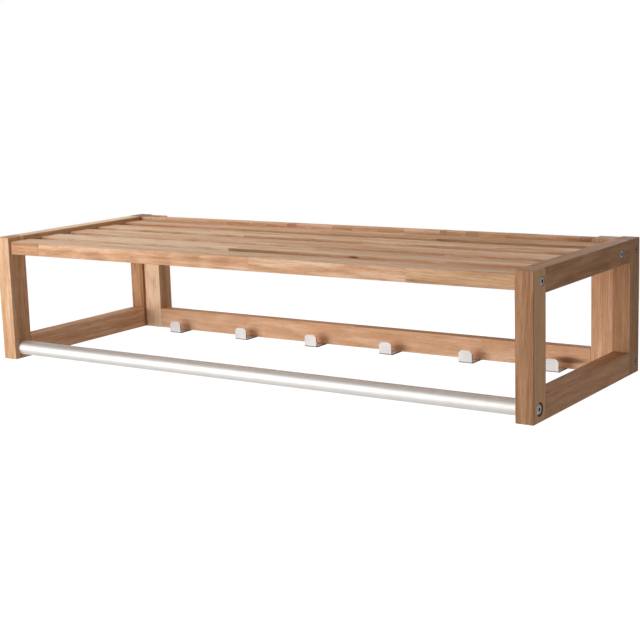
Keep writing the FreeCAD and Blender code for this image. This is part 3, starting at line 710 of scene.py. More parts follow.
class BoardEdges:
    """Marks a board's lighter long edges, rubbed and partly a painted highlight, its end grain and the
    dark hairline at its butted ends.
    """

    # How far the lighter edge, rubbed and partly a painted highlight, reaches from an edge, and the
    # patches in which it reaches less far.
    REACH = 0.0024
    PATCHES = Noise((45.0, 120.0, 120.0))
    REACH_SHARE = Change(0.25, 0.75, 0.35, 1.0)
    # How far the hairline and the end grain reach from an end.
    HAIRLINE = 0.0010
    SKIN = 0.0002

    def __init__(self) -> None:
        """Build the group."""
        self.group = Group(
            "board_edges",
            {
                "Vector": Kind.VECTOR, "Half Size": Kind.VECTOR, "WearAndLit": Kind.NUMBER,
                "Butted": Kind.NUMBER,
            },
            {"Worn": Kind.NUMBER, "Seam": Kind.NUMBER, "Cut": Kind.NUMBER},
        )
        graph, inputs = self.group.graph, self.group.inputs
        place = graph.vector("ABSOLUTE", inputs["Vector"])
        x, y, z = graph.split(graph.vector("SUBTRACT", inputs["Half Size"], place))
        low, high = graph.math("MINIMUM", x, y), graph.math("MAXIMUM", x, y)
        middle = graph.math("MAXIMUM", low, graph.math("MINIMUM", high, z))
        patchy = graph.ramp(graph.noise(inputs["Vector"], self.PATCHES), self.REACH_SHARE)
        reach = graph.math("MULTIPLY", patchy, self.REACH)
        near = graph.ramp(graph.math("DIVIDE", middle, reach), Change(1.0, 0.0))
        seam = graph.ramp(x, Change(self.HAIRLINE, 0.0))
        self.group.give(
            Worn=graph.math("MULTIPLY", near, inputs["WearAndLit"]),
            Seam=graph.math("MULTIPLY", seam, inputs["Butted"]),
            Cut=graph.ramp(x, Change(self.SKIN, self.SKIN / 2)),
        )


class RecessShade:
    """Painted shade inside a recess along X, equal at both ends of the rack."""

    # Distance over which the dark comes in.
    RIM = 0.0003

    def __init__(self) -> None:
        """Build the group."""
        self.group = Group(
            "recess_shade",
            {
                "Vector": Kind.VECTOR, "Axis": Kind.VECTOR, "Radius": Kind.NUMBER,
                "Face": Kind.NUMBER,
            },
            {"Dark": Kind.NUMBER},
        )
        graph, inputs = self.group.graph, self.group.inputs
        away = graph.vector("SUBTRACT", inputs["Vector"], inputs["Axis"])
        away = graph.vector("MULTIPLY", away, (0.0, 1.0, 1.0))
        beyond = graph.math("SUBTRACT", graph.length(away), inputs["Radius"])
        x, _, _ = graph.split(inputs["Vector"])
        depth = graph.math("SUBTRACT", inputs["Face"], graph.math("ABSOLUTE", x))
        within = graph.ramp(beyond, Change(self.RIM, 0.0))
        below = graph.ramp(depth, Change(0.0, self.RIM))
        self.group.give(Dark=graph.math("MULTIPLY", within, below))

    def over(self, graph: Graph, place: Socket, recesses: Sequence[Recess]) -> Socket | None:
        """The darkest of several recesses.

        Args:
            graph: Graph of the material.
            place: The place in the rack's axes.
            recesses: The recesses.

        Returns:
            The mask's socket, or None where there are no recesses.
        """
        dark = None
        for recess in recesses:
            shade = self.group.put_in(graph, {
                "Vector": place, "Axis": (0.0, recess.y, recess.z), "Radius": recess.radius,
                "Face": recess.face,
            })["Dark"]
            dark = shade if dark is None else graph.math("MAXIMUM", dark, shade)
        return dark


class MetalGrain:
    """Fine drawn or brushed lines of a metal surface, with faint smudges."""

    LINES = Noise((1.0, 1.0, 1.0), 3.0, 0.6)
    LINE_SHARE = Change(0.25, 0.75, 0.0, 0.6)
    SMUDGES = Noise((38.0, 38.0, 38.0), 3.0, 0.55)
    SMUDGE_SHARE = Change(0.45, 0.75, 0.0, 0.4)

    def __init__(self) -> None:
        """Build the group."""
        self.group = Group(
            "metal_grain",
            {
                "Vector": Kind.VECTOR, "Lines": Kind.VECTOR, "Tint": Kind.COLOUR,
                "Shade": Kind.COLOUR, "Roughness": Kind.NUMBER, "Uneven": Kind.NUMBER,
            },
            {"Colour": Kind.COLOUR, "Roughness": Kind.NUMBER, "Height": Kind.NUMBER},
        )
        graph, inputs = self.group.graph, self.group.inputs
        drawn = graph.vector("MULTIPLY", inputs["Vector"], inputs["Lines"])
        lines = graph.noise(drawn, self.LINES)
        smudge = graph.noise(inputs["Vector"], self.SMUDGES)
        share = graph.total(
            graph.ramp(lines, self.LINE_SHARE), graph.ramp(smudge, self.SMUDGE_SHARE))
        # Both noises run about 0.5, so this runs about 0.
        uneven = graph.total(lines, smudge, -1.0)
        self.group.give(
            Colour=graph.mix(share, inputs["Tint"], inputs["Shade"]),
            Roughness=graph.math("MULTIPLY_ADD", uneven, inputs["Uneven"], inputs["Roughness"]),
            Height=lines,
        )


class Finishes:
    """The shader groups that the finishes share, and the source of each stave's own figure.

    Args:
        chance: Seeded source of chance.
    """

    def __init__(self, chance: random.Random) -> None:
        """Build each group once."""
        self.chance = chance
        self.figure = OakFigure()
        self.edges = BoardEdges()
        self.recess = RecessShade()
        self.metal = MetalGrain()


@dataclass(frozen=True)
class OakFinish:
    """Oiled oak of one glued-up board.

    Args:
        node: The board's node.
        grain: Direction of its fibres.
        rows: Its strips across the width, from the low side up.
        butted: Whether its ends meet other boards, with a dark hairline.
        knot: A knot, if it has one.
        recesses: Bores for bolt heads, darkened inside as painted shade.
        vivid: Strength of its figure.
        wear_and_highlight: How much its edges are lightened, by rubbing and as a painted highlight.
        glue_line: Half the width of the joints between rows.
        glue_shown: How dark those joints are, from 0 to 1.
        tone_spread: How much darker one stave may be than another of the same timber.
    """

    node: str
    grain: Grain
    rows: Rows
    butted: bool = True
    knot: Knot = Knot()
    recesses: tuple[Recess, ...] = ()
    vivid: float = 1.0
    wear_and_highlight: float = 0.5
    glue_line: float = 0.00025
    glue_shown: float = 0.5
    tone_spread: float = 0.06

    def material(self, finishes: Finishes) -> bpy.types.Material:
        """Make the board's material.

        Args:
            finishes: The shared groups.

        Returns:
            The material.
        """
        low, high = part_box(self.node)
        turn = self.grain.turn()
        centre = turn @ ((low + high) / 2)
        half = Vector(abs(part) for part in turn @ ((high - low) / 2))
        plain = Surface(specular=0.14, bump_strength=0.5, bump_distance=0.0003)
        material, graph, shader = plain.start(f"oak_{self.node}")
        place = graph.place()
        vector = graph.add("ShaderNodeMapping", {
            "Vector": place, "Location": -centre, "Rotation": self.grain.value,
        }, vector_type="POINT").outputs[0]
        edges = finishes.edges.group.put_in(graph, {
            "Vector": vector, "Half Size": half, "WearAndLit": self.wear_and_highlight, "Butted": float(self.butted),
        })
        stave, dark = self.staves(graph, vector, half, edges["Seam"], finishes.chance)
        # Painted shade inside the bores for the bolt heads.
        bore_shade = finishes.recess.over(graph, place, self.recesses)
        if bore_shade is not None:
            dark = graph.math("MAXIMUM", dark, bore_shade)
        tone, warmth, seed = graph.add("ShaderNodeSeparateColor", {0: stave}).outputs
        look = finishes.figure.group.put_in(graph, {
            "Vector": vector, "Tone": tone, "Warmth": warmth, "Seed": seed, "Vivid": self.vivid,
            "Dark": dark, "Worn": edges["Worn"], "Cut": edges["Cut"],
            "Knot": turn @ Vector(self.knot.place) - centre, "Knot Radius": self.knot.radius,
        })
        plain.dress(graph, shader, look["Colour"], look["Roughness"], look["Height"])
        return material

    def staves(self, graph: Graph, vector: Socket, half: Vector, dark: Socket,
               chance: random.Random) -> tuple[Socket, Socket]:
        """Colour-coded staves of the board, and the glue lines between its rows.

        Args:
            graph: Graph of the material.
            vector: The place in the board's own axes.
            half: Half the board's size along its own axes.
            dark: The board's other dark lines.
            chance: Source of each stave's own figure.

        Returns:
            A colour that holds tone, warmth and seed, and all dark lines.
        """
        along, across, _ = graph.split(vector)
        share = graph.add("ShaderNodeMapRange", {
            "Value": along, "From Min": -half.x, "From Max": half.x,
        }).outputs[0]
        stave = self.row_ramp(graph, share, self.rows[0], chance)
        line = Change(self.glue_line, 0.0, 0.0, self.glue_shown)
        for before, row in zip(self.rows, self.rows[1:]):
            edge = (before.edge * 2 - 1) * half.y
            beyond = graph.math("GREATER_THAN", across, edge)
            stave = graph.mix(beyond, stave, self.row_ramp(graph, share, row, chance))
            gap = graph.math("ABSOLUTE", graph.math("SUBTRACT", across, edge))
            dark = graph.math("MAXIMUM", dark, graph.ramp(gap, line))
        return stave, dark

    def row_ramp(self, graph: Graph, share: Socket, row: Row, chance: random.Random) -> Socket:
        """Stepped colours along one row: tone, warmth and a seed for each stave.

        Args:
            graph: Graph of the material.
            share: The place along the board, from 0 to 1.
            row: The row.
            chance: Source of each stave's lift in tone and of its seed.

        Returns:
            The colour's socket.
        """
        ramp = graph.add("ShaderNodeValToRGB", {"Fac": share})
        ramp.color_ramp.interpolation = "CONSTANT"
        steps = ramp.color_ramp.elements
        steps.remove(steps[1])
        ends = [stave.start for stave in row.staves[1:]] + [1.0]
        for stave, end in zip(row.staves, ends):
            lift, seed = chance.uniform(0.0, self.tone_spread), chance.random()
            for start, tone, warmth in stave.steps(end):
                step = steps[0] if start == 0.0 else steps.new(start)
                step.color = (tone + lift, warmth, seed, 1.0)
        return ramp.outputs["Color"]


@dataclass(frozen=True)
class MetalFinish:
    """A metal surface with drawn or brushed lines.

    Args:
        name: Name of the material.
        tint: Its main colour.
        shade: Colour of its lines and smudges.
        roughness: Middle roughness.
        uneven: How far the roughness strays.
        lines: Waves per metre along each axis.
        bump: Depth of the lines.
        recesses: Sockets for a key, darkened inside as painted shade.
    """

    name: str
    tint: Colour
    shade: Colour
    roughness: float
    uneven: float = 0.15
    lines: Waves = (30.0, 2600.0, 2600.0)
    bump: float = 0.00001
    recesses: tuple[Recess, ...] = ()

    def material(self, finishes: Finishes) -> bpy.types.Material:
        """Make the material from the shared groups."""
        return self.build(finishes)[0]

    def build(self, finishes: Finishes) -> tuple[bpy.types.Material, Graph, bpy.types.Node, Socket]:
        """Make the material.

        Args:
            finishes: The shared groups.

        Returns:
            The material, its graph, its shader and the socket of its colour.
        """
        plain = Surface(metallic=1.0, bump_strength=0.4, bump_distance=self.bump)
        material, graph, shader = plain.start(self.name)
        place = graph.place()
        look = finishes.metal.group.put_in(graph, {
            "Vector": place, "Lines": self.lines, "Tint": opaque(self.tint),
            "Shade": opaque(self.shade), "Roughness": self.roughness, "Uneven": self.uneven,
        })
        colour = look["Colour"]
        # Painted shade inside the sockets of the bolt heads.
        dark = finishes.recess.over(graph, place, self.recesses)
        if dark is not None:
            colour = graph.mix(dark, colour, SOCKET_SHADE)
        plain.dress(graph, shader, colour, look["Roughness"], look["Height"])
        return material, graph, shader, colour


@dataclass(frozen=True)
class StripFinish:
    """Satin metal of a row of bent strips. Their edges are darker, as raw cut metal and as painted
    shade, and painted shade lies along the bend's lower corner.

    Args:
        metal: The strip's broad faces.
        raw_edge_and_shade: Colour of its edges, darker as raw cut metal and as painted shade.
        centre: X of one strip's middle.
        pitch: Distance from strip to strip.
        half_width: Half the width of a strip.
        bend: Y and Z of the strip's lower front corner, where the painted shade of the bend is centred.
        arris: How far the edges' darkness reaches round the edge.
        bend_shade_reach: How far the bend's painted shade reaches.
        bend_shade_full: How far from the corner that painted shade is full.
        bend_shade_shown: How dark it is there, from 0 to 1.
    """

    metal: MetalFinish
    raw_edge_and_shade: Colour
    centre: float
    pitch: float
    half_width: float
    bend: tuple[float, float]
    arris: float = 0.0005
    bend_shade_reach: float = 0.0030
    bend_shade_full: float = 0.0010
    bend_shade_shown: float = 0.9

    def material(self, finishes: Finishes) -> bpy.types.Material:
        """Make the strips' material.

        Args:
            finishes: The shared groups.

        Returns:
            The material.
        """
        material, graph, shader, colour = self.metal.build(finishes)
        x, y, z = graph.split(graph.place())
        along = graph.math("SUBTRACT", x, self.centre)
        along = graph.math("WRAP", along, self.pitch / 2, -self.pitch / 2)
        out = graph.math("SUBTRACT", graph.math("ABSOLUTE", along), self.half_width)
        # Darker along the edges: raw cut metal and painted shade.
        cut = graph.ramp(out, Change(-self.arris, 0.0))
        # Painted shade at the bend's lower front corner.
        aside = (graph.math("SUBTRACT", part, at) for part, at in zip((y, z), self.bend))
        corner = graph.length(graph.join(*aside, 0.0))
        bend_shade = graph.ramp(corner, Change(self.bend_shade_reach, self.bend_shade_full, 0.0, self.bend_shade_shown))
        darkened = graph.math("MAXIMUM", cut, bend_shade)
        graph.fill(shader, {"Base Color": graph.mix(darkened, colour, self.raw_edge_and_shade)})
        return material


class Rack:
    """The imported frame's nodes, which the sub-assemblies dress.

    Args:
        nodes: The nodes' objects, by name.
        finishes: The shared groups.
    """

    def __init__(self, nodes: Mapping[str, bpy.types.Object], finishes: Finishes) -> None:
        """Keep the nodes and the finishes."""
        self.nodes = nodes
        self.finishes = finishes

    def put_on(self, finish: OakFinish | MetalFinish | StripFinish, *names: str) -> None:
        """Give pieces one finish, and report them.

        Args:
            finish: The finish.
            *names: Names of the pieces' nodes.
        """
        material = finish.material(self.finishes)
        for name in names:
            slots = self.nodes[name].data.materials
            slots.clear()
            slots.append(material)
            LOG.info("%s: %s", name, material.name)

    def boards(self, *finishes: OakFinish) -> None:
        """Dress boards, each in its own finish."""
        for finish in finishes:
            self.put_on(finish, finish.node)

    def named(self, *endings: str) -> list[str]:
        """Names of the nodes with one of some endings."""
        return [name for name in self.nodes if name.endswith(endings)]


@dataclass(frozen=True)
class BoltRow:
    """Hexagon-socket bolts through a side frame, equal at both ends of the rack.

    Args:
        node: Their node.
        axes: Y and Z of each.
        bore_radius: Radius of the bore that it is sunk in.
        sunk: How far the head's face lies below the wood.
        key: Width across the flats of the socket.
        outer_face: Distance of the wood's face from the rack's middle.
        mouth: How far in the painted shade of a bore or socket starts.
    """

    node: str
    axes: tuple[tuple[float, float], ...]
    bore_radius: float
    sunk: float
    key: float
    outer_face: float = 0.5
    mouth: float = 0.0002

    def bores(self, *numbers: int) -> tuple[Recess, ...]:
        """The bores of some of the bolts in the wood."""
        return tuple(
            Recess(*self.axes[number], self.bore_radius, self.outer_face - self.mouth)
            for number in numbers
        )

    def sockets(self) -> tuple[Recess, ...]:
        """The sockets in the heads."""
        corner = self.key / math.sqrt(3)
        face = self.outer_face - self.sunk - self.mouth
        return tuple(Recess(y, z, corner, face) for y, z in self.axes)


SHELF_BOLTS = BoltRow(
    "shelf_bolts", ((-0.347, 0.05225), (-0.070, 0.05225)),
    bore_radius=0.0069, sunk=0.0003, key=0.005,
)
UPRIGHT_BOLTS = BoltRow(
    "upright_bolts", ((-0.0155, 0.05225), (-0.0155, -0.122)),
    bore_radius=0.0054, sunk=0.0008, key=0.004,
)
ROD_BOLTS = BoltRow(
    "rod_bolts", ((-0.356, -0.1215),), bore_radius=0.0100, sunk=0.0010, key=0.005)


@dataclass(frozen=True)
class SideFrame:
    """One side: two posts and two rails, butted and glued.

    Args:
        side: Which end of the rack.
        front_post: Rows of the front post, from its front face back.
        rear_post: Rows of the rear post, from its front face back.
        top_rail: Rows of the upper rail, from its right face to its left.
        bottom_rail: Rows of the lower rail, from its right face to its left.
        vivid: Strength of the boards' figure.
    """

    side: Side
    front_post: Rows
    rear_post: Rows
    top_rail: Rows
    bottom_rail: Rows
    vivid: float = 1.0

    def dress(self, rack: Rack) -> None:
        """Dress the posts, with their bores, and the rails."""
        node, vivid = self.side.node, self.vivid
        rack.boards(
            OakFinish(node("front_post"), Grain.ALONG_Z, self.front_post, butted=False, vivid=vivid,
                      recesses=SHELF_BOLTS.bores(0) + ROD_BOLTS.bores(0)),
            OakFinish(node("rear_post"), Grain.ALONG_Z, self.rear_post, butted=False, vivid=vivid,
                      recesses=UPRIGHT_BOLTS.bores(0, 1)),
            OakFinish(node("top_rail"), Grain.ALONG_Y, self.top_rail, vivid=vivid,
                      recesses=SHELF_BOLTS.bores(1)),
            OakFinish(node("bottom_rail"), Grain.ALONG_Y, self.bottom_rail, vivid=vivid),
        )


@dataclass(frozen=True)
class Shelf:
    """The shelf's slats.

    Args:
        slats: Rows of each slat, from its front face back, the front slat first.
        knots: Knots, by the slat's number.
    """

    slats: tuple[Rows, ...]
    knots: Mapping[int, Knot]

    def dress(self, rack: Rack) -> None:
        """Dress the slats."""
        for number, rows in enumerate(self.slats, start=1):
            knot = self.knots.get(number, Knot())
            rack.boards(OakFinish(f"slat_{number}", Grain.ALONG_X, rows, knot=knot))


@dataclass(frozen=True)
class BackFrame:
    """The uprights, the back rail of short staves and the hook rail.

    Args:
        uprights: Rows of each upright, from its front face back.
        back_rail: Rows of the back rail.
        hook_rail: Rows of the hook rail. Those behind its front face are darker, as painted shade on
            its top face under the shelf.
        hook_rail_knot: A dark figure near the last hook.
        hook_rail_vivid: Strength of the hook rail's figure.
    """

    uprights: Mapping[Side, Rows]
    back_rail: Rows
    hook_rail: Rows
    hook_rail_knot: Knot
    hook_rail_vivid: float = 0.6

    def dress(self, rack: Rack) -> None:
        """Dress the uprights and both rails."""
        for side, rows in self.uprights.items():
            rack.boards(OakFinish(side.node("upright"), Grain.ALONG_Z, rows, butted=False))
        rack.boards(
            OakFinish("back_rail", Grain.ALONG_X, self.back_rail),
            OakFinish("hook_rail", Grain.ALONG_X, self.hook_rail, knot=self.hook_rail_knot,
                      vivid=self.hook_rail_vivid),
        )


@dataclass(frozen=True)
class ClothesRod:
    """The satin tube and its turned end plugs.

    Args:
        tube: Finish of the tube.
        plug: Finish of the plugs.
    """

    tube: MetalFinish = MetalFinish(
        "satin_aluminium", tint=(0.80, 0.77, 0.74), shade=(0.72, 0.69, 0.66), roughness=0.62)
    plug: MetalFinish = MetalFinish(
        "turned_aluminium", tint=(0.76, 0.76, 0.76), shade=(0.60, 0.60, 0.60), roughness=0.35)

    def dress(self, rack: Rack) -> None:
        """Dress the tube and the plugs."""
        rack.put_on(self.tube, "clothes_rod")
        rack.put_on(self.plug, *rack.named("rod_plug"))


@dataclass(frozen=True)
class Hooks:
    """The row of bent strip hooks under the hook rail.

    Args:
        count: Number of hooks.
        pitch: Distance from hook to hook.
        width: Width of the strip.
        front: Y of the turned-up end's face.
        foot: Z of the strip's underside.
        metal: Finish of its broad faces.
        raw_edge_and_shade: Colour of its edges, darker as raw cut metal and as painted shade.
    """

    count: int = 6
    pitch: float = 0.152
    width: float = 0.025
    front: float = -0.059
    foot: float = -0.142
    metal: MetalFinish = MetalFinish(
        "satin_steel", tint=(0.87, 0.84, 0.83), shade=(0.80, 0.77, 0.76), roughness=0.78,
        lines=(2600.0, 30.0, 30.0),
    )
    raw_edge_and_shade: Colour = (0.16, 0.15, 0.14)

    def dress(self, rack: Rack) -> None:
        """Dress the strips, all in one finish that repeats from hook to hook."""
        finish = StripFinish(
            self.metal, self.raw_edge_and_shade, centre=self.pitch / 2, pitch=self.pitch,
            half_width=self.width / 2, bend=(self.front, self.foot),
        )
        rack.put_on(finish, *(f"hook_{number}" for number in range(1, self.count + 1)))


@dataclass(frozen=True)
class Fasteners:
    """Bolts, screws, inserts, dowels and the hanger plates.

    Args:
        zinc: Finish of the screws and the hanger plates, and of the bolts but for their sockets.
        brass: Finish of the inserts.
        dowel: Rows of a dowel.
    """

    zinc: MetalFinish = MetalFinish(
        "zinc_screws", tint=(0.60, 0.61, 0.62), shade=(0.42, 0.43, 0.44), roughness=0.38)
    brass: MetalFinish = MetalFinish(
        "turned_brass", tint=(0.78, 0.60, 0.32), shade=(0.55, 0.40, 0.20), roughness=0.30)
    dowel: Rows = (Row.of((0.0, Timber.CREAM)),)

    def dress(self, rack: Rack) -> None:
        """Dress every fastener, seen or hidden.

        Args:
            rack: The frame's nodes.
        """
        for bolts in (SHELF_BOLTS, UPRIGHT_BOLTS, ROD_BOLTS):
            # Each bolt row gets its own material, with painted shade in the sockets of its heads.
            finish = replace(self.zinc, name=f"zinc_{bolts.node}", recesses=bolts.sockets())
            rack.put_on(finish, bolts.node)
        rack.put_on(self.zinc, *rack.named("screws", "hanger_plate"))
        rack.put_on(self.brass, *rack.named("inserts"))
        for name in rack.named("dowels"):
            rack.boards(OakFinish(name, Grain.ALONG_X, self.dowel, butted=False))


@dataclass(frozen=True)
class Softbox:
    """A soft square lamp.

    Args:
        name: Its name.
        azimuth: Degrees from the front of the rack towards its right end.
        elevation: Degrees above the rack.
        distance: From the rack's middle.
        size: Side of the square.
        level: Brightness that it gives to a white face turned to it.
    """

    name: str
    azimuth: float
    elevation: float
    distance: float
    size: float
    level: float

    def hang(self, aim: Vector) -> None:
        """Place the lamp and turn it to a point.

        Args:
            aim: The point.
        """
        turn, rise = math.radians(self.azimuth), math.radians(self.elevation)
        flat = math.cos(rise)
        towards = Vector((math.sin(turn) * flat, -math.cos(turn) * flat, math.sin(rise)))
        lamp = bpy.data.lights.new(self.name, "AREA")
        lamp.shape = "SQUARE"
        lamp.size = self.size
        lamp.energy = self.level * (math.pi * self.distance) ** 2
        item = bpy.data.objects.new(self.name, lamp)
        facing = towards.to_track_quat("Z", "Y").to_matrix().to_4x4()
        item.matrix_world = Matrix.Translation(aim + towards * self.distance) @ facing
        bpy.context.scene.collection.objects.link(item)
        LOG.info("lamp %s hung", self.name)


@dataclass(frozen=True)
class Viewpoint:
    """The camera, at the photograph's viewing angle.

    Args:
        place: Where it stands.
        yaw: Degrees that it looks to the left of straight at the wall.
        pitch: Degrees that it looks above the horizon.
        roll: Degrees that it is turned about its own axis.
        focal_length: Of its lens, in millimetres.
        sensor_width: In millimetres.
        clip_end: How far it sees.
    """

    place: Place = (1.29900, -2.05775, 0.35361)
    yaw: float = 34.101
    pitch: float = -10.466
    roll: float = -1.765
    focal_length: float = 79.857
    sensor_width: float = 36.0
    clip_end: float = 60.0

    def set_up(self) -> None:
        """Make the camera and the scene use it."""
        yaw, pitch, roll = (math.radians(value) for value in (self.yaw, self.pitch, self.roll))
        flat = math.cos(pitch)
        forward = Vector((-math.sin(yaw) * flat, math.cos(yaw) * flat, math.sin(pitch)))
        level = Vector((math.cos(yaw), math.sin(yaw), 0.0))
        above = level.cross(forward)
        right = level * math.cos(roll) + above * math.sin(roll)
        up = above * math.cos(roll) - level * math.sin(roll)
        camera = bpy.data.cameras.new("camera")
        camera.lens = self.focal_length
        camera.sensor_width = self.sensor_width
        camera.clip_end = self.clip_end
        item = bpy.data.objects.new("camera", camera)
        turn = Matrix((right, up, -forward)).transposed().to_4x4()
        item.matrix_world = Matrix.Translation(self.place) @ turn
        bpy.context.scene.collection.objects.link(item)
        bpy.context.scene.camera = item


@dataclass(frozen=True)
class Studio:
    """Floor, lamps, surroundings and camera.

    Args:
        floor_drop: From the rack's lowest point to the floor.
        floor_radius: Of the round floor.
        floor_sides: Number of straight sides that it is made of.
        floor_paint: Its colour.
        floor_roughness: Its roughness.
        floor_glow: Light that it gives to the camera alone, by the distance from the Z axis.
        surround: Light of the surroundings on the rack.
        mirrored: Brightness of the surroundings in glossy surfaces.
        floor_mirrored: Light that the floor gives to glossy surfaces alone.
        viewpoint: The camera.
        softboxes: The lamps.
    """

    floor_drop: float = 1.45
    floor_radius: float = 9.0
    floor_sides: int = 96
    floor_paint: Colour = (0.9, 0.9, 0.9)
    floor_roughness: float = 0.8
    floor_glow: Change = Change(0.8, 3.2, 0.46, 0.95)
    surround: float = 0.19
    mirrored: float = 0.27
    floor_mirrored: float = 0.24
    viewpoint: Viewpoint = Viewpoint()
    softboxes: tuple[Softbox, ...] = (
        Softbox("key_softbox", azimuth=-27.7, elevation=3.7, distance=2.6, size=1.5, level=0.74),
        Softbox("top_softbox", azimuth=-125.0, elevation=60.0, distance=1.6, size=1.4, level=0.50),
        Softbox("rear_softbox", azimuth=180.0, elevation=12.0, distance=3.0, size=1.5, level=0.16),
        Softbox("side_softbox", azimuth=80.0, elevation=2.0, distance=1.2, size=0.8, level=0.053),
        Softbox("sheen_softbox", azimuth=-129.0, elevation=9.0, distance=3.2, size=0.9, level=0.03),
    )

    def build(self) -> None:
        """Set the whole studio up."""
        low, high = (Vector(corner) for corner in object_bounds())
        middle = (low + high) / 2
        self.surroundings()
        self.floor(middle, low.z)
        for softbox in self.softboxes:
            softbox.hang(middle)
        self.viewpoint.set_up()
        bpy.context.scene.view_settings.view_transform = "Standard"

    def surroundings(self) -> None:
        """A white background that lights the rack only at the surround's level."""
        world = bpy.data.worlds.new("studio")
        bpy.context.scene.world = world
        world.use_nodes = True
        world.node_tree.nodes.clear()
        graph = Graph(world.node_tree)
        rays = graph.add("ShaderNodeLightPath").outputs
        share = (self.mirrored - self.surround) / (1.0 - self.surround)
        seen = graph.math("MAXIMUM", rays["Is Camera Ray"], rays["Is Transmission Ray"])
        seen = graph.math("MAXIMUM", seen, graph.math("MULTIPLY", rays["Is Glossy Ray"], share))
        colour = graph.mix(seen, (self.surround,) * 3, WHITE)
        backdrop = graph.add("ShaderNodeBackground", {"Color": colour, "Strength": 1.0})
        graph.add("ShaderNodeOutputWorld", {"Surface": backdrop.outputs[0]})

    def floor(self, middle: Vector, base: float) -> None:
        """A pale round floor well below the rack that fades into the white surroundings.

        Args:
            middle: The rack's middle.
            base: Z of its lowest point.
        """
        sheet = bmesh.new()
        bmesh.ops.create_circle(
            sheet, cap_ends=True, segments=self.floor_sides, radius=self.floor_radius)
        place = (middle.x, middle.y, base - self.floor_drop)
        bmesh.ops.translate(sheet, verts=sheet.verts, vec=place)
        mesh = bpy.data.meshes.new("floor")
        sheet.to_mesh(mesh)
        sheet.free()
        floor = bpy.data.objects.new("floor", mesh)
        bpy.context.scene.collection.objects.link(floor)
        floor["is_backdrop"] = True
        material, graph, shader = Surface(specular=0.1).start("floor_paint")
        away = graph.length(graph.vector("MULTIPLY", graph.place(), (1.0, 1.0, 0.0)))
        rays = graph.add("ShaderNodeLightPath").outputs
        seen = graph.math("MULTIPLY", graph.ramp(away, self.floor_glow), rays["Is Camera Ray"])
        mirrored = graph.math("MULTIPLY", rays["Is Glossy Ray"], self.floor_mirrored)
        glow = graph.math("MAXIMUM", seen, mirrored)
        graph.fill(shader, {
            "Base Color": opaque(self.floor_paint), "Roughness": self.floor_roughness,
            "Emission Strength": 1.0, "Emission Color": graph.join(glow, glow, glow),
        })
        floor.data.materials.append(material)
        LOG.info("floor laid")


def side_frames() -> tuple[SideFrame, SideFrame]:
    """Both side frames, with the timber of their boards."""
    row, timber = Row.of, Timber
    left = SideFrame(
        Side.LEFT,
        front_post=(row((0.0, timber.TAN, timber.AMBER)),),
        rear_post=(row((0.0, timber.BROWN)),),
        # Past its right face the rail is pale cream, which paints in the sheen on its top.
        top_rail=(row((0.0, timber.OLIVE), edge=FACE), row((0.0, timber.CREAM))),
        bottom_rail=(row((0.0, timber.HONEY), edge=FACE), row((0.0, timber.RUSSET))),
    )
    right = SideFrame(
        Side.RIGHT,
        front_post=(row((0.0, timber.BROWN), edge=FACE), row((0.0, timber.TAN))),
        rear_post=(row((0.0, timber.BROWN), edge=FACE), row((0.0, timber.UMBER))),
        top_rail=(row((0.0, timber.BROWN)),),
        # Behind its right face the rail turns darker towards the rear: painted shade on its top in the
        # corner by the upright and rear post.
        bottom_rail=(row((0.0, timber.RUSSET), edge=FACE), row((0.0, timber.BROWN, timber.UMBER))),
        vivid=0.65,
    )
    return left, right


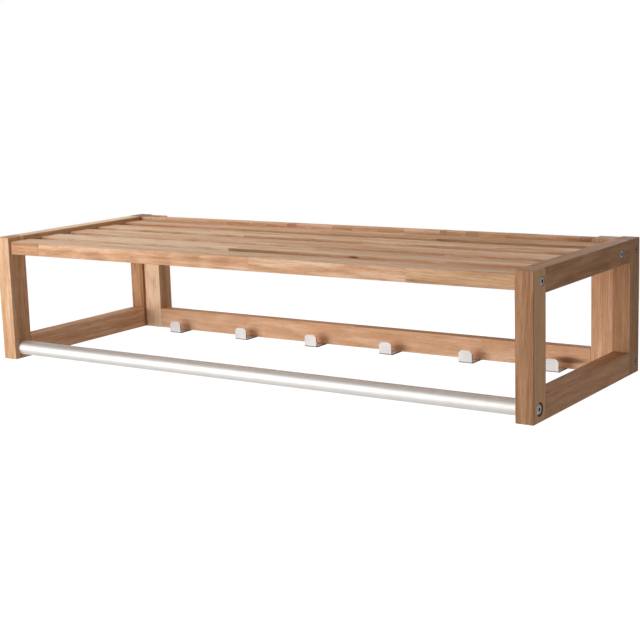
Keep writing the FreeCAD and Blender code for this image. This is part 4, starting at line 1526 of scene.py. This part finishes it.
def shelf() -> Shelf:
    """The shelf, with the timber of its slats."""
    row, timber = Row.of, Timber
    return Shelf(
        slats=(
            (row((0.0, timber.RUSSET), (0.07, timber.HONEY), (0.53, timber.AMBER, timber.HONEY),
                 (0.82, timber.TAN), edge=FACE),
             row((0.0, timber.STRAW), (0.44, timber.AMBER), (0.78, timber.HONEY), edge=0.5),
             row((0.0, timber.AMBER), (0.31, timber.STRAW), (0.62, timber.HONEY))),
            (row((0.0, timber.CREAM), (0.433, timber.BROWN, timber.TAN), (0.64, timber.HONEY),
                 edge=FACE),
             row((0.0, timber.CREAM), (0.44, timber.STRAW), (0.8, timber.AMBER), edge=0.5),
             row((0.0, timber.CREAM), (0.25, timber.AMBER), (0.58, timber.HONEY))),
            (row((0.0, timber.HONEY), (0.5, timber.AMBER), (0.8, timber.HONEY), edge=FACE),
             row((0.0, timber.HONEY), (0.42, timber.TAN), (0.75, timber.HONEY), edge=0.55),
             row((0.0, timber.STRAW), (0.3, timber.HONEY), (0.66, timber.AMBER))),
            (row((0.0, timber.AMBER), (0.35, timber.TAN), (0.6, timber.HONEY), edge=FACE),
             row((0.0, timber.STRAW), (0.5, timber.AMBER), (0.85, timber.HONEY), edge=0.5),
             row((0.0, timber.HONEY), (0.25, timber.AMBER), (0.7, timber.STRAW))),
            (row((0.0, timber.HONEY), (0.3, timber.TAN), (0.7, timber.RUSSET), edge=FACE),
             row((0.0, timber.HONEY), (0.45, timber.TAN), edge=0.5),
             row((0.0, timber.TAN), (0.2, timber.HONEY), (0.62, timber.TAN))),
        ),
        knots={2: Knot((0.171, -0.298, 0.0605), 0.0012)},
    )


def back_frame() -> BackFrame:
    """The back frame, with the timber of its boards."""
    row, timber = Row.of, Timber
    return BackFrame(
        uprights={
            Side.LEFT: (row((0.0, timber.CREAM), edge=FACE), row((0.0, timber.TAN))),
            Side.RIGHT: (row((0.0, timber.HONEY)),),
        },
        back_rail=(row(
            (0.0, timber.HONEY), (0.17, timber.STRAW), (0.19, timber.HONEY), (0.25, timber.AMBER),
            (0.29, timber.HONEY), (0.34, timber.RUSSET), (0.366, timber.PINK), (0.4, timber.PINK),
            (0.45, timber.AMBER), (0.5, timber.HONEY), (0.555, timber.TAN), (0.58, timber.HONEY),
            (0.615, timber.AMBER), (0.66, timber.HONEY), (0.695, timber.TAN), (0.71, timber.AMBER),
            (0.75, timber.TAN), (0.775, timber.HONEY), (0.83, timber.TAN), (0.89, timber.HONEY),
            (0.93, timber.TAN), (0.975, timber.BROWN),
        ),),
        # Behind its front face the hook rail is darker: painted shade on its top face under the shelf.
        hook_rail=(row((0.0, timber.HONEY), (0.78, timber.HONEY), edge=FACE),
                   row((0.0, timber.RUSSET), (0.5, timber.BROWN))),
        hook_rail_knot=Knot((0.400, -0.033, -0.126), 0.0034),
    )


def sub_assemblies() -> tuple[SideFrame | Shelf | BackFrame | ClothesRod | Hooks | Fasteners, ...]:
    """The rack's sub-assemblies, in the order in which they are dressed."""
    return (*side_frames(), shelf(), back_frame(), ClothesRod(), Hooks(), Fasteners())


def main() -> None:
    """Load the frame, dress every piece and set the studio up."""
    logging.basicConfig(level=logging.INFO, format="%(name)s: %(message)s")
    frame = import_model()
    rack = Rack(frame["nodes"], Finishes(random.Random(STAVE_SEED)))
    for part in sub_assemblies():
        part.dress(rack)
    Studio().build()


if __name__ == "__main__":
    main()
